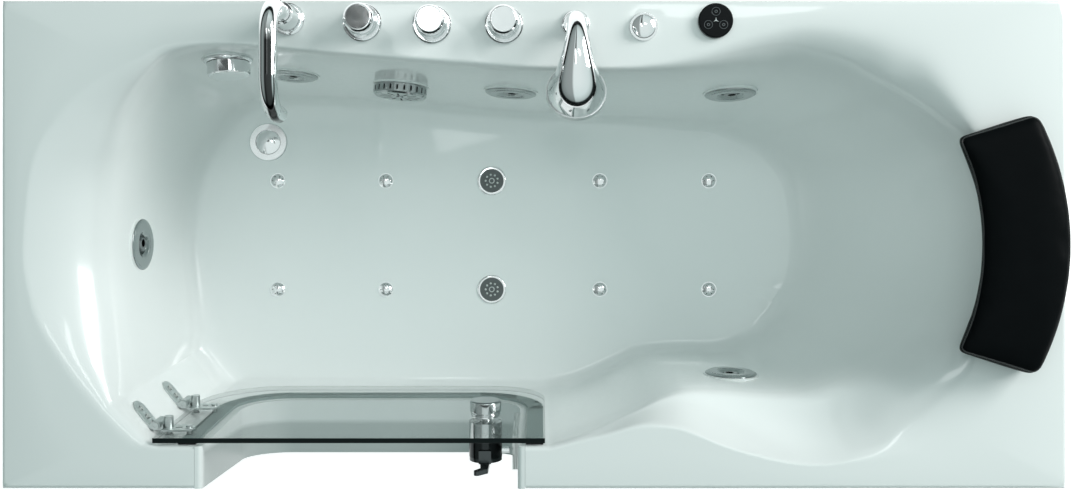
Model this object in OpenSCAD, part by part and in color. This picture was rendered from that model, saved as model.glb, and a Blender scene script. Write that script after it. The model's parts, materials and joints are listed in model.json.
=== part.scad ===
// Walk-in bathtub with a glass door in the front wall, hydromassage fittings and a lift-off neck pillow.
// Origin: centre of the footprint on the floor. +X head end, +Y rear (taps), +Z up. Millimetres.

/* [Tub] */
// Overall length over the deck
tub_l = 1700; // [1660:10:1760]
// Overall width over the deck
tub_w = 780; // [770:5:800]
// Height of the deck above the floor
rim_h = 600; // [590:5:620]
// Depth of the basin below the deck
basin_d = 440; // [430:5:445]
// Thickness of the moulded skin
wall_t = 6; // [5:0.5:7]
// Height of the folded lip round the deck
lip_d = 45; // [40:5:50]

/* [Doorway] */
// Width of the hole in the front wall
hole_w = 528; // [504:4:536]
// Depth of the sill below the deck, along the leaning wall
sill_d = 340; // [325:5:345]
// Radius of the hole's lower corners
hole_r = 90; // [70:5:110]
// Lean of the front wall and the door, in degrees
lean = 5.5; // [4.5:0.5:6]
// Thickness of the door glass
glass_t = 8; // [6:1:10]
// Thickness of the rubber seal
seal_t = 5; // [4:0.5:6]

/* [Fittings] */
// Outer diameter of the jet rings
jet_d = 90; // [84:2:94]
// Depth of the wall jets below the deck
jet_depth = 200; // [190:5:210]
// Outer diameter of the tap knobs' wall rings
knob_ring_d = 62; // [58:1:66]
// Height of the tap knobs
knob_h = 44; // [38:1:50]
// Side of the square frame tube
tube = 25; // [20:1:28]
// Height of the pillow
pillow_h = 62; // [54:1:70]

/* [Hidden] */
$fn = 48;
kx = tub_l / 1700;
ky = tub_w / 780;
half_l = tub_l / 2;
half_w = tub_w / 2;
wall_d = basin_d - 48;
floor_z = rim_h - basin_d;
under_z = floor_z - wall_t;
board_t = 15;
board_z = under_z - board_t;
joist_z = board_z - tube;
rail_z = joist_z - tube;
lip_in = wall_t;
panel_t = 4;
panel_y = half_w - lip_in - panel_t;
panel_x = half_l - lip_in - panel_t;
run_gap = 0.3;
shaft_gap = 0.05;

// Doorway and door, measured in the plane of the leaning front wall: y from the sealing face into the
// basin, z up the wall from the deck.
lean_t = tan(lean);
seal_y = -half_w + 68;
hinge_x = -617 * kx;
hinge_y = seal_t + glass_t + 10;
hole_x0 = hinge_x + 75;
hole_x1 = hole_x0 + hole_w;
glass_x0 = hinge_x + 8;
glass_x1 = hole_x1 + 31.6;
glass_z0 = -(wall_d - 2);
seal_w = 28;
seal_out = 1;
leaf_dir = [-0.6098, 0.7927];
leaf_nrm = [-0.7927, -0.6098];
corner0 = [hinge_x, hinge_y] + 10 * leaf_nrm;

function unit(v) = v / norm(v);
function blend(a, b, t) = a + (b - a) * t;
function bez(p, c, q, t) = p * (1 - t) * (1 - t) + c * 2 * t * (1 - t) + q * t * t;

// One station of the basin: deck edge, shoulder with its depth, foot of the wall, flat floor, ledge factor.
function free(r) = [r[0] * kx, r[1] * ky, r[2] * kx, r[3] * ky, r[4], r[5] * kx, r[6] * ky, r[7] * kx, r[8] * ky, r[9]];

// A station in the plane that the door seals on.
function flat(x, fx) = [
  x, seal_y - 8, x, seal_y + lean_t * 10, 10, x, seal_y + lean_t * wall_d, fx, seal_y + lean_t * wall_d + 25, 0
];

// A station on the diagonal wall that carries the hinges.
function diag(t, out, hs, fx, fy) =
  let (c = corner0 + t * leaf_dir, s = [c[0], c[1] + seal_y + lean_t * hs])
  [
    s[0] + out * leaf_nrm[0], s[1] + out * leaf_nrm[1], s[0], s[1], hs,
    s[0], c[1] + seal_y + lean_t * wall_d, fx * kx, fy * ky, 0
  ];

// How far out the diagonal wall's deck edge is where it meets the line to the corner of the deck.
function diag_out(t, hs) =
  let (c = corner0 + t * leaf_dir, y = c[1] + seal_y + lean_t * hs)
  (y * half_l - c[0] * half_w) / (leaf_nrm[0] * half_w - leaf_nrm[1] * half_l);

rear_jet_r = 7;
rear_jet_m = 11;
suction_i = 13;
rear_jet_l = 15;
overflow_i = 16;
left_jet = 22;
front_jet = 46;
ctrl = [
  free([743, 0, 722, 0, 40, 548, 0, 497, 0, 0.2]),
  free([734, 92, 713, 88, 42, 543, 78, 493, 68, 0.2]),
  free([705, 178, 680, 160, 48, 527, 144, 478, 124, 0.3]),
  free([628, 288.141, 610, 216, 56, 486, 198, 440, 172, 0.5]),
  free([571, 316, 552, 243, 62, 442, 223, 398, 196, 0.6]),
  free([517, 333, 500, 268, 68, 404, 236, 362, 211, 0.6]),
  free([430, 343, 420, 286, 70, 380, 243, 350, 219, 0.6]),
  free([345, 328, 345, 284, 60, 345, 246, 325, 222, 0.5]),
  free([250, 301, 250, 279, 34, 250, 248, 248, 226, 0.2]),
  free([161, 287, 161, 276, 22, 161, 250, 161, 230, 0]),
  free([50, 286, 50, 276, 20, 50, 255, 50, 235, 0]),
  free([-42, 290, -42, 280, 20, -42, 260, -42, 240, 0]),
  free([-140, 296, -140, 287, 20, -140, 269, -140, 247, 0]),
  free([-240, 304, -240, 295, 20, -240, 278, -240, 254, 0]),
  free([-340, 312, -340, 303, 20, -340, 284, -340, 259, 0]),
  free([-427, 320, -427, 311, 20, -427, 289, -422, 263, 0]),
  free([-509, 325, -509, 314, 22, -509, 288, -495, 260, 0]),
  free([-590, 318, -580, 301, 32, -567, 272, -548, 244, 0]),
  free([-640, 293.647, -616, 270, 46, -600, 240, -578, 213, 0]),
  free([-705, 255, -654, 220, 62, -636, 194, -604, 170, 0]),
  free([-753, 207, -679, 163, 75, -660, 143, -622, 126, 0]),
  free([-797, 131, -697, 88, 86, -675, 78, -633, 68, 0]),
  free([-813, 0, -702, 0, 90, -680, 0, -637, 0, 0]),
  free([-806, -68, -698, -62, 88, -676, -56, -633, -50, 0]),
  free([-786, -129, -689, -120, 82, -670, -104, -627, -90, 0]),
  free([-741, -200, -676, -188, 70, -664, -160, -620, -140, 0]),
  diag(67, 36, 60, -614, -180),
  diag(55, 35, 50, -610, -190),
  diag(22, diag_out(22, 30), 30, -598, -211),
  diag(0, 27, 22, -588, -226),
  diag(-12, 20, 16, -580, -234),
  flat(hinge_x + 17, hinge_x + 48),
  flat(hinge_x + 32, hinge_x + 66),
  flat(hole_x0 + 10, hole_x0 + 30),
  flat(hole_x0 + 140, hole_x0 + 144),
  flat(hole_x0 + 264, hole_x0 + 264),
  flat(hole_x0 + 390, hole_x0 + 388),
  flat(hole_x1 - 16, hole_x1 - 20),
  flat(glass_x1 - 6, glass_x1 - 12),
  flat(glass_x1 + 8, glass_x1),
  free([68, -317, 72, -306, 22, 72, -275, 62, -250, 0]),
  free([110, -304, 116, -291, 32, 112, -261, 102, -237, 0.1]),
  free([161, -289, 168, -270, 45, 160, -238, 150, -214, 0.3]),
  free([200, -287, 212, -250, 56, 203, -218, 198, -194, 0.5]),
  free([240, -294, 252, -239, 64, 250, -211, 246, -188, 0.6]),
  free([300, -319, 302, -240, 68, 302, -210, 298, -186, 0.6]),
  free([346, -334, 346, -243, 70, 346, -211, 336, -186, 0.6]),
  free([407, -348, 400, -246, 70, 385, -206, 364, -181, 0.6]),
  free([461, -351, 445, -243, 69, 412, -197, 388, -172, 0.6]),
  free([517, -341.5, 492, -229, 66, 438, -186, 408, -161, 0.6]),
  free([571, -324, 540, -206, 62, 466, -170, 430, -146, 0.6]),
  free([628, -288.141, 596, -174, 56, 497, -146, 455, -122, 0.5]),
  free([689, -216, 658, -130, 50, 524, -108, 477, -92, 0.3]),
  free([728, -115, 706, -76, 43, 542, -62, 491, -54, 0.2])
];
n_ctrl = len(ctrl);
function ct(i) = ctrl[(i + n_ctrl) % n_ctrl];
function is_straight(i) = i >= 26 && i <= 39;
function spline(i, t) =
  let (a = ct(i - 1), b = ct(i), c = ct(i + 1), d = ct(i + 2))
  0.5 * (2 * b + (c - a) * t + (2 * a - 5 * b + 4 * c - d) * t * t + (3 * b - a - 3 * c + d) * t * t * t);
stations = [for (i = [0:n_ctrl - 1]) each is_straight(i) ? [ct(i)] : [ct(i), spline(i, 0.5)]];
n_st = len(stations);
function st(i) = stations[(i + n_st) % n_st];

// Points are x, y and depth below the deck; v runs 0 at the deck edge, 1 at the shoulder, 2 at the
// foot of the wall and 3 at the flat floor.
function pr(s) = [s[0], s[1], 0];
function ps(s) = [s[2], s[3], s[4]];
function pw(s) = [s[5], s[6], wall_d];
function pf(s) = [s[7], s[8], basin_d];
function c_top(s) = blend(ps(s) + (ps(s) - pw(s)) * s[4] / (wall_d - s[4]), (pr(s) + ps(s)) / 2, s[9]);
function c_low(s) = pw(s) + (pw(s) - ps(s)) * (basin_d - wall_d) / (wall_d - s[4]);
function prof(s, v) =
  v <= 1 ? bez(pr(s), c_top(s), ps(s), v)
  : v <= 2 ? blend(ps(s), pw(s), v - 1)
  : bez(pw(s), c_low(s), pf(s), v - 2);
function up(p) = [p[0], p[1], rim_h - p[2]];
function skin(i, v) = up(prof(st(i), v));
function skin_n(i, v) =
  v <= 0 || v >= 3 ? [0, 0, 1]
  : unit(cross(skin(i + 1, v) - skin(i - 1, v), skin(i, v + 0.02) - skin(i, v - 0.02)));
function back(i, v) = skin(i, v) - wall_t * skin_n(i, v);
function to_edge(i, inset, z) =
  let (s = st(i), k = min(half_l / max(abs(s[0]), 1e-6), half_w / max(abs(s[1]), 1e-6)))
  [s[0] * k * (half_l - inset) / half_l, s[1] * k * (half_w - inset) / half_w, z];

in_v = [3, 2.7, 2.35, 2, 1.5, 1, 0.65, 0.3, 0];
out_v = [0, 0.5, 1, 2, 2.5, 3];
skin_rings = concat(
  [for (v = in_v) [for (i = [0:n_st - 1]) skin(i, v)]],
  [
    [for (i = [0:n_st - 1]) to_edge(i, 7, rim_h)],
    [for (i = [0:n_st - 1]) to_edge(i, 2, rim_h - 2)],
    [for (i = [0:n_st - 1]) to_edge(i, 0, rim_h - 7)],
    [for (i = [0:n_st - 1]) to_edge(i, 0, rim_h - lip_d)],
    [for (i = [0:n_st - 1]) to_edge(i, lip_in, rim_h - lip_d)],
    [for (i = [0:n_st - 1]) to_edge(i, lip_in, rim_h - wall_t)]
  ],
  [for (v = out_v) [for (i = [0:n_st - 1]) back(i, v)]]
);
n_rings = len(skin_rings);
floor_mid = [-80 * kx, 10 * ky];

module skin_solid() {
  pts = concat(
    [for (r = skin_rings) each r],
    [[floor_mid[0], floor_mid[1], floor_z], [floor_mid[0], floor_mid[1], under_z]]
  );
  top = n_rings * n_st;
  quads = [
    for (r = [0:n_rings - 2], i = [0:n_st - 1])
      let (j = (i + 1) % n_st, a = r * n_st + i, b = r * n_st + j, c = b + n_st, d = a + n_st)
      each [[a, b, c], [a, c, d]]
  ];
  caps = [
    for (i = [0:n_st - 1])
      let (j = (i + 1) % n_st, q = (n_rings - 1) * n_st)
      each [[top, j, i], [top + 1, q + i, q + j]]
  ];
  polyhedron(points = pts, faces = concat(quads, caps), convexity = 8);
}

// A point on the straight wall of a control station, and the frame there: x along the wall, y up it, z
// into the basin.
function wall_pt(i, d) = let (s = ct(i)) up(blend(ps(s), pw(s), (d - s[4]) / (wall_d - s[4])));
function wall_along(i, d) = unit(wall_pt(i + 1, d) - wall_pt(i - 1, d));
function wall_in(i, d) = unit(cross(wall_along(i, d), unit(up(pw(ct(i))) - up(ps(ct(i))))));
function wall_side(i, d) = let (a = wall_along(i, d)) unit([-a[0], -a[1], 0]);
function wall_rise(i, d) = cross(wall_in(i, d), wall_side(i, d));
module on_wall(i, d) {
  o = wall_pt(i, d);
  n = wall_in(i, d);
  side = wall_side(i, d);
  rise = wall_rise(i, d);
  multmatrix([
    [side[0], rise[0], n[0], o[0]],
    [side[1], rise[1], n[1], o[1]],
    [side[2], rise[2], n[2], o[2]],
    [0, 0, 0, 1]
  ]) children();
}

// The door's own frame, leaning with the front wall.
module in_door() {
  translate([0, seal_y, rim_h]) rotate([lean, 0, 0]) children();
}

// Extrudes an x-z outline between two y planes.
module slab(y0, y1) {
  translate([0, y1, 0]) rotate([90, 0, 0]) linear_extrude(y1 - y0) children();
}

// A U-shaped area: straight top, rounded lower corners.
module u_area(x0, x1, z0, z1, ra, rb) {
  big = max(ra, rb);
  translate([x0, z0 + big]) square([x1 - x0, z1 - z0 - big]);
  translate([x0 + ra, z0]) square([x1 - x0 - ra - rb, big]);
  if (ra < big) translate([x0, z0 + ra]) square([ra, big - ra]);
  if (rb < big) translate([x1 - rb, z0 + rb]) square([rb, big - rb]);
  translate([x0 + ra, z0 + ra]) circle(ra);
  translate([x1 - rb, z0 + rb]) circle(rb);
}

// ---- positions that several pieces share ----
jet_pad = 3;
jet_bore = 27;
jet_plug = 26.6;
flange_back = wall_t + 3;
wall_jets = [[rear_jet_r, jet_depth], [rear_jet_m, jet_depth], [rear_jet_l, jet_depth], [left_jet, jet_depth], [front_jet, jet_depth]];
suction_d = 235;
suction_bore = 30;
overflow_d = 80;
overflow_bore = 24;
drain_at = [-524 * kx, 201 * ky];
drain_bore = 30;
air_x = [-505 * kx, -293 * kx, 127 * kx, 341 * kx];
air_y = [125 * ky, -88 * ky];
air_bore = 9;
bubbler_x = -85 * kx;
bubbler_bore = 21;
hot_at = [-274 * kx, half_w - 36];
cold_at = [-163 * kx, half_w - 39];
divert_at = [-48 * kx, half_w - 39];
taps = [hot_at, cold_at, divert_at];
tap_bore = 15;
spout_at = [66 * kx, half_w - 39];
spout_bore = 12;
holder_at = [-392 * kx, half_w - 31];
holder_bore = 13;
button_at = [175 * kx, half_w - 43];
button_bore = 20;
pad_at = [289 * kx, half_w - 34];
pad_bore = 8;
peg_at = [for (s = [-1, 1]) [half_l - 60, s * 100]];
peg_r = 5;
hinge_zs = [-60, -213];
leaf_h = 37;
leaf_t = 3;
hinge_screw_t = [20, 37];
latch_x = hole_x1 - 70;
latch_z = -150;

module at(p, z) {
  translate([p[0], p[1], z]) children();
}
module pipe_z(r, h, bore) {
  difference() {
    cylinder(r = r, h = h);
    translate([0, 0, -1]) cylinder(r = bore, h = h + 2);
  }
}
module rod(a, b, r) {
  d = b - a;
  l = norm(d);
  translate(a) rotate([0, acos(d[2] / l), atan2(d[1], d[0])]) cylinder(r = r, h = l);
}
// The hinge's own frame: x along the diagonal wall from the pin, y up the pin, z out into the wall.
module on_leaf(z) {
  translate([hinge_x, hinge_y, z]) multmatrix([
    [leaf_dir[0], 0, leaf_nrm[0], 0],
    [leaf_dir[1], 0, leaf_nrm[1], 0],
    [0, 1, 0, 0],
    [0, 0, 0, 1]
  ]) children();
}

// ---- shell and panels ----
module tub_shell() {
  color("white") difference() {
    union() {
      skin_solid();
      for (j = wall_jets) on_wall(j[0], j[1]) translate([0, 0, -flange_back]) cylinder(r = jet_d / 2 + 3, h = flange_back + jet_pad);
      on_wall(suction_i, suction_d) translate([0, 0, -flange_back]) cylinder(r = 50, h = flange_back + jet_pad);
      on_wall(overflow_i, overflow_d) translate([0, 0, -flange_back]) cylinder(r = 43, h = flange_back + jet_pad);
    }
    for (j = wall_jets) on_wall(j[0], j[1]) translate([0, 0, -30]) cylinder(r = jet_bore, h = 60);
    on_wall(suction_i, suction_d) translate([0, 0, -30]) cylinder(r = suction_bore, h = 60);
    on_wall(overflow_i, overflow_d) translate([0, 0, -30]) cylinder(r = overflow_bore, h = 60);
    in_door() slab(-110, 2) u_area(hole_x0, hole_x1, -sill_d, 60, hole_r, hole_r);
    in_door() for (z = hinge_zs, t = hinge_screw_t) on_leaf(z) translate([t, 0, 0]) cylinder(r = 2.6, h = 30);
    at(drain_at, under_z - 5) cylinder(r = drain_bore, h = 20);
    for (x = air_x, y = air_y) at([x, y], under_z - 5) cylinder(r = air_bore, h = 20);
    for (y = air_y) at([bubbler_x, y], under_z - 5) cylinder(r = bubbler_bore, h = 20);
    for (p = taps) at(p, rim_h - 20) cylinder(r = tap_bore, h = 30);
    at(spout_at, rim_h - 20) cylinder(r = spout_bore, h = 30);
    at(holder_at, rim_h - 20) cylinder(r = holder_bore, h = 30);
    at(button_at, rim_h - 20) cylinder(r = button_bore, h = 30);
    at(pad_at, rim_h - 20) cylinder(r = pad_bore, h = 30);
    for (p = peg_at) at(p, rim_h - 20) cylinder(r = peg_r + run_gap, h = 30);
  }
}

liner_t = 12;
liner_gap = 0.4;
module doorway_reveal() {
  color("white") intersection() {
    in_door() difference() {
      slab(-110, -0.5) u_area(
        hole_x0 + liner_gap, hole_x1 - liner_gap, -sill_d + liner_gap, 60,
        hole_r - liner_gap, hole_r - liner_gap
      );
      slab(-120, 5) u_area(hole_x0 + liner_t, hole_x1 - liner_t, -sill_d + liner_t, 70, hole_r - liner_t, hole_r - liner_t);
    }
    translate([-half_l, -half_w, 0]) cube([tub_l, half_w, rim_h]);
  }
  color("white") intersection() {
    in_door() difference() {
      slab(-110, -20) u_area(hole_x0 - 16, hole_x1 + 16, -sill_d - 16, 60, hole_r + 16, hole_r + 16);
      slab(-120, 5) u_area(hole_x0 + liner_t, hole_x1 - liner_t, -sill_d + liner_t, 70, hole_r - liner_t, hole_r - liner_t);
    }
    translate([-half_l, -half_w, 0]) cube([tub_l, lip_in, rim_h - lip_d - 1]);
  }
}

module front_apron() {
  color("white") difference() {
    translate([-half_l + lip_in, -half_w + lip_in, 15]) cube([tub_l - 2 * lip_in, panel_t, rim_h - wall_t - 15]);
    in_door() slab(-110, 2) u_area(hole_x0, hole_x1, -sill_d, 60, hole_r, hole_r);
  }
}
module end_panel() {
  translate([half_l - lip_in - panel_t, -panel_y, 15]) cube([panel_t, 2 * panel_y + panel_t, rim_h - wall_t - 15]);
}
module end_panels() {
  color("white") for (s = [0, 1]) mirror([s, 0, 0]) end_panel();
}
screw_x = [-780, -640, 40, 240, 440, 640, 780];
module apron_screws() {
  for (x = screw_x) translate([x * kx, -half_w + lip_in, rail_z + tube / 2]) rotate([90, 0, 0]) {
    cylinder(r = 5, h = 2.5);
  }
}

module door_seal() {
  color("black") in_door() difference() {
    slab(0, seal_t) u_area(
      hole_x0 - seal_out - seal_w, hole_x1 + seal_out + seal_w, -sill_d - seal_out - seal_w, -11,
      hole_r + seal_w, hole_r + seal_w
    );
    slab(-1, seal_t + 1) u_area(hole_x0 - seal_out, hole_x1 + seal_out, -sill_d - seal_out, 10, hole_r, hole_r);
  }
}

// ---- frame ----
pump_x = 700 * kx;
pump_y = 40;
rail_y = panel_y - tube;
joist_x = [-590, -450, -190, 20, 234, 415];
post_front = [-panel_x + tube / 2, hole_x0 - 83, hole_x1 + 74, 480 * kx, panel_x - tube / 2];
post_rear = [-panel_x + tube / 2, -495 * kx, 372 * kx, panel_x - tube / 2];
foot_x = [-760 * kx, -260 * kx, 300 * kx, 760 * kx];
foot_y = panel_y - tube / 2;
stud_r = 6;
top_z = rim_h - wall_t - tube;
module box_tube(x0, y0, z0, size) {
  translate([x0, y0, z0]) cube(size);
}
module long_rails() {
  color("gray") {
    difference() {
      for (y = [-panel_y, rail_y]) box_tube(-panel_x, y, rail_z, [2 * panel_x, tube, tube]);
      for (x = foot_x, s = [-1, 1]) at([x, s * foot_y], rail_z - 1) cylinder(r = stud_r + 0.5, h = tube + 2);
    }
    box_tube(-panel_x, -panel_y, top_z, [panel_x + post_front[1] + tube / 2, tube, tube]);
    box_tube(post_front[2] - tube / 2, -panel_y, top_z, [panel_x - post_front[2] + tube / 2, tube, tube]);
    box_tube(-panel_x, rail_y, top_z, [panel_x + post_rear[1] + tube / 2, tube, tube]);
    box_tube(post_rear[2] - tube / 2, rail_y, top_z, [panel_x - post_rear[2] + tube / 2, tube, tube]);
  }
}
module end_rails() {
  color("gray") for (s = [0, 1], z = [rail_z, top_z]) mirror([s, 0, 0]) {
    box_tube(panel_x - tube, -rail_y, z, [tube, 2 * rail_y, tube]);
  }
}
tray_t = 3;
module joists() {
  color("gray") {
    for (x = joist_x) box_tube(x * kx - tube / 2, -panel_y, joist_z, [tube, 2 * panel_y, tube]);
    box_tube(-panel_x + tube, 80, rail_z, [100, rail_y - 80, tray_t]);
    box_tube(pump_x - 80, -rail_y, rail_z, [panel_x - tube - pump_x + 80, 2 * rail_y, tray_t]);
  }
}
module posts() {
  color("gray") {
    for (x = post_front) box_tube(x - tube / 2, -panel_y, joist_z, [tube, tube, top_z - joist_z]);
    for (x = post_rear) box_tube(x - tube / 2, rail_y, joist_z, [tube, tube, top_z - joist_z]);
  }
}
module foot_studs() {
  color("silver") {
    for (x = foot_x, s = [-1, 1]) at([x, s * foot_y], 4) cylinder(r = stud_r, h = joist_z + 10);
    foot_nuts();
  }
}
module foot_pads() {
  color("black") for (x = foot_x, s = [-1, 1]) at([x, s * foot_y], 0) difference() {
    union() {
      cylinder(r = 22, h = 6);
      translate([0, 0, 6]) cylinder(r1 = 21, r2 = 12, h = 8);
    }
    translate([0, 0, 4]) cylinder(r = stud_r + shaft_gap, h = 20);
  }
}
module foot_nuts() {
  for (x = foot_x, s = [-1, 1], z = [rail_z - 10, joist_z]) at([x, s * foot_y], z) difference() {
    cylinder(r = 11, h = 10, $fn = 6);
    translate([0, 0, -1]) cylinder(r = stud_r + shaft_gap, h = 12);
  }
}
module floor_board() {
  x0 = -602 * kx;
  x1 = 428 * kx;
  y0 = -165 * ky;
  y1 = 208 * ky;
  color("tan") difference() {
    translate([0, 0, board_z]) linear_extrude(board_t) difference() {
      translate([x0, y0]) square([x1 - x0, y1 - y0]);
      translate([x1, y1]) rotate(45) square(90, center = true);
      translate([x1, y0]) rotate(45) square(60, center = true);
      translate([x0, y1]) rotate(45) square(60, center = true);
      translate([x0, y0]) rotate(45) square(60, center = true);
    }
    at(drain_at, board_z - 5) cylinder(r = drain_bore + 2, h = 40);
    for (x = air_x, y = air_y) at([x, y], board_z - 5) cylinder(r = air_bore + 2, h = 40);
    for (y = air_y) at([bubbler_x, y], board_z - 5) cylinder(r = bubbler_bore + 2, h = 40);
  }
}

// ---- door ----
glass_y0 = seal_t;
glass_y1 = seal_t + glass_t;
clamp_x = [hinge_x + 17, hinge_x + 50];
module door_glass() {
  color("gray") in_door() difference() {
    slab(glass_y0, glass_y1) u_area(glass_x0, glass_x1, glass_z0, -0.5, 140, 100);
    for (z = hinge_zs, x = clamp_x) translate([x, glass_y1 + 1, z]) rotate([90, 0, 0]) cylinder(r = 4.5, h = glass_t + 2);
    translate([latch_x, glass_y1 + 1, latch_z]) rotate([90, 0, 0]) cylinder(r = 10, h = glass_t + 2);
  }
}
knuckle_r = 7.5;
pin_r = 4;
mid_h = 14;
module leaf_outline(len) {
  translate([0, -leaf_h / 2]) square([len - leaf_h / 2, leaf_h]);
  translate([len - leaf_h / 2, 0]) circle(leaf_h / 2);
}
module slot_area(x, l, w) {
  translate([x - l / 2 + w / 2, -w / 2]) square([l - w, w]);
  for (s = [-1, 1]) translate([x + s * (l - w) / 2, 0]) circle(w / 2);
}
module hinge_wall_leaves() {
  color("silver") in_door() hinge_pins();
  color("silver") in_door() for (z = hinge_zs) {
    difference() {
      union() {
        on_leaf(z) translate([0, 0, 10 - leaf_t]) linear_extrude(leaf_t) difference() {
          translate([2, 0]) leaf_outline(50);
          translate([-20, -mid_h / 2 - run_gap]) square([30, mid_h + 2 * run_gap]);
          for (t = hinge_screw_t) slot_area(t, 10, 5.4);
        }
        for (s = [0, 1]) mirror_z(s, z) translate([0, 0, z + mid_h / 2 + run_gap]) {
          translate([hinge_x, hinge_y, 0]) cylinder(r = knuckle_r, h = (leaf_h - mid_h) / 2 - run_gap);
          translate([hinge_x, hinge_y, 0]) multmatrix([
            [leaf_dir[0], leaf_nrm[0], 0, 0], [leaf_dir[1], leaf_nrm[1], 0, 0], [0, 0, 1, 0], [0, 0, 0, 1]
          ]) translate([-1, 0, 0]) cube([8, 9, (leaf_h - mid_h) / 2 - run_gap]);
        }
      }
      translate([hinge_x, hinge_y, z - 30]) cylinder(r = pin_r + shaft_gap, h = 60);
    }
  }
}
module mirror_z(s, z) {
  translate([0, 0, 2 * z * s]) mirror([0, 0, s]) children();
}
module hinge_pins() {
  for (z = hinge_zs) translate([hinge_x, hinge_y, z]) {
    translate([0, 0, -leaf_h / 2 - 2]) cylinder(r = pin_r, h = leaf_h + 2);
    difference() {
      translate([0, 0, leaf_h / 2]) cylinder(r = 6.4, h = 3);
      translate([0, 0, leaf_h / 2 + 1.6]) cylinder(r = 2.6, h = 3, $fn = 6);
    }
  }
}
module hinge_screws() {
  a = atan2(leaf_nrm[1], leaf_nrm[0]);
  in_door() for (z = hinge_zs, t = hinge_screw_t) {
    translate([hinge_x + t * leaf_dir[0], hinge_y + t * leaf_dir[1], z]) rotate([0, 90, a]) {
      translate([0, 0, 10 - leaf_t - 2.4]) cylinder(r = 4.6, h = 2.4);
      translate([0, 0, 10 - leaf_t - 0.4]) cylinder(r = 2.5, h = leaf_t + wall_t + 7);
    }
  }
}
module screws() {
  color("silver") {
    apron_screws();
    hinge_screws();
  }
}
module hinge_glass_leaves() {
  color("silver") in_door() for (z = hinge_zs) difference() {
    union() {
      translate([hinge_x + 9, glass_y1 + leaf_t, z]) rotate([90, 0, 0]) linear_extrude(leaf_t) difference() {
        union() {
          leaf_outline(50);
          translate([-5, -mid_h / 2]) square([6, mid_h]);
        }
        slot_area(24.5, 12, 5.4);
      }
      translate([hinge_x, hinge_y, z - mid_h / 2]) cylinder(r = knuckle_r, h = mid_h);
      translate([hinge_x, glass_y1, z - mid_h / 2]) cube([9.3, 9, mid_h]);
    }
    translate([hinge_x, hinge_y, z - 30]) cylinder(r = pin_r + shaft_gap, h = 60);
    for (x = clamp_x) translate([x, glass_y1 + 20, z]) rotate([90, 0, 0]) cylinder(r = 4.1, h = 30);
  }
}
module hinge_clamps() {
  color("silver") in_door() for (z = hinge_zs) {
    translate([clamp_x[0], 0, z]) rotate([-90, 0, 0]) {
      translate([0, 0, glass_y0 - 1.2]) cylinder(r = 7, h = 1.2);
      translate([0, 0, glass_y0 - 0.1]) cylinder(r = 4, h = 24);
      difference() {
        translate([0, 0, glass_y1 + leaf_t]) cylinder(r = 7.4, h = 19);
        for (a = [0:30:330]) rotate([0, 0, a]) translate([7.6, -0.6, glass_y1 + leaf_t + 7]) cube([3, 1.2, 14]);
        for (a = [0:30:330]) rotate([0, 0, a]) translate([6.8, -0.6, glass_y1 + leaf_t + 8]) cube([3, 1.2, 9]);
      }
    }
    translate([clamp_x[1], 0, z]) rotate([-90, 0, 0]) {
      translate([0, 0, glass_y0]) cylinder(r = 4, h = glass_t + leaf_t + 1);
      translate([0, 0, glass_y1 + leaf_t]) cylinder(r = 5.2, h = 3.6);
    }
  }
}

// ---- latch: y runs out of the bath as -y in the door's frame ----
house_r = 28.5;
house_y = -56;
bolt_y = -46;
bolt_r = 5;
spindle_r = 5;
strip_t = 10;
strip_x = hole_x1 - liner_t - strip_t;
bolt_reach = 6;
bolt_travel = 12.5;
bolt_back = 7;
module on_latch() {
  in_door() translate([latch_x, 0, latch_z]) rotate([90, 0, 0]) children();
}
module latch_housing() {
  color("silver") difference() {
    on_latch() translate([0, 0, -glass_y0]) cylinder(r = house_r, h = glass_y0 - house_y);
    on_latch() translate([0, 0, -1]) cylinder(r = house_r - 5, h = -house_y - 5);
    on_latch() translate([0, 0, -20]) cylinder(r = spindle_r + shaft_gap, h = 100);
    in_door() translate([latch_x, bolt_y, latch_z]) rotate([0, 90, 0]) cylinder(r = bolt_r + shaft_gap, h = 60);
  }
}
module latch_rose() {
  color("silver") on_latch() difference() {
    union() {
      translate([0, 0, -glass_y1]) cylinder(r = 9.9, h = glass_t);
      translate([0, 0, -glass_y1 - 3]) cylinder(r = 24.5, h = 3);
    }
    translate([0, 0, -glass_y1 - 4]) cylinder(r = spindle_r + shaft_gap, h = glass_t + 6);
  }
}
module latch_knob() {
  color("silver") {
    on_latch() translate([0, 0, -glass_y1 - 3 - run_gap]) mirror([0, 0, 1]) {
      cylinder(r = 25.5, h = 3);
      translate([0, 0, 3]) cylinder(r = 23, h = 2.5);
      translate([0, 0, 5.5]) cylinder(r = 27, h = 17);
      translate([0, 0, 22.5]) cylinder(r1 = 27, r2 = 24.5, h = 2.5);
    }
    on_latch() translate([0, 0, -glass_y1 - 10]) cylinder(r = spindle_r, h = glass_y1 + 10 - house_y + 5);
  }
}
module latch_lever() {
  r = house_r;
  color("dimgray") on_latch() {
    difference() {
      union() {
        translate([0, 0, -house_y + run_gap]) cylinder(r = r - 0.5, h = 6.4);
        translate([-10.5, 0, -house_y + run_gap]) cube([21, 33, 6.4]);
        translate([-10.5, 24, -house_y - 16]) cube([21, 9, 16 + run_gap + 6.4]);
        hull() {
          translate([-8, 26, -house_y + 4]) cube([16, 7, 8]);
          translate([-6.5, 50, -house_y + 8]) cube([13, 5, 8]);
        }
        hull() {
          translate([0, 53, -house_y + 8]) cylinder(r = 6.5, h = 8, $fn = 24);
          translate([-12, 60, -house_y + 10]) cylinder(r = 5.5, h = 7.5, $fn = 24);
        }
      }
      translate([0, 0, -house_y - 40]) cylinder(r = r + 0.6, h = 40);
      translate([0, 0, -house_y - 1]) cylinder(r = spindle_r + shaft_gap, h = 6);
    }
  }
}
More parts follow.
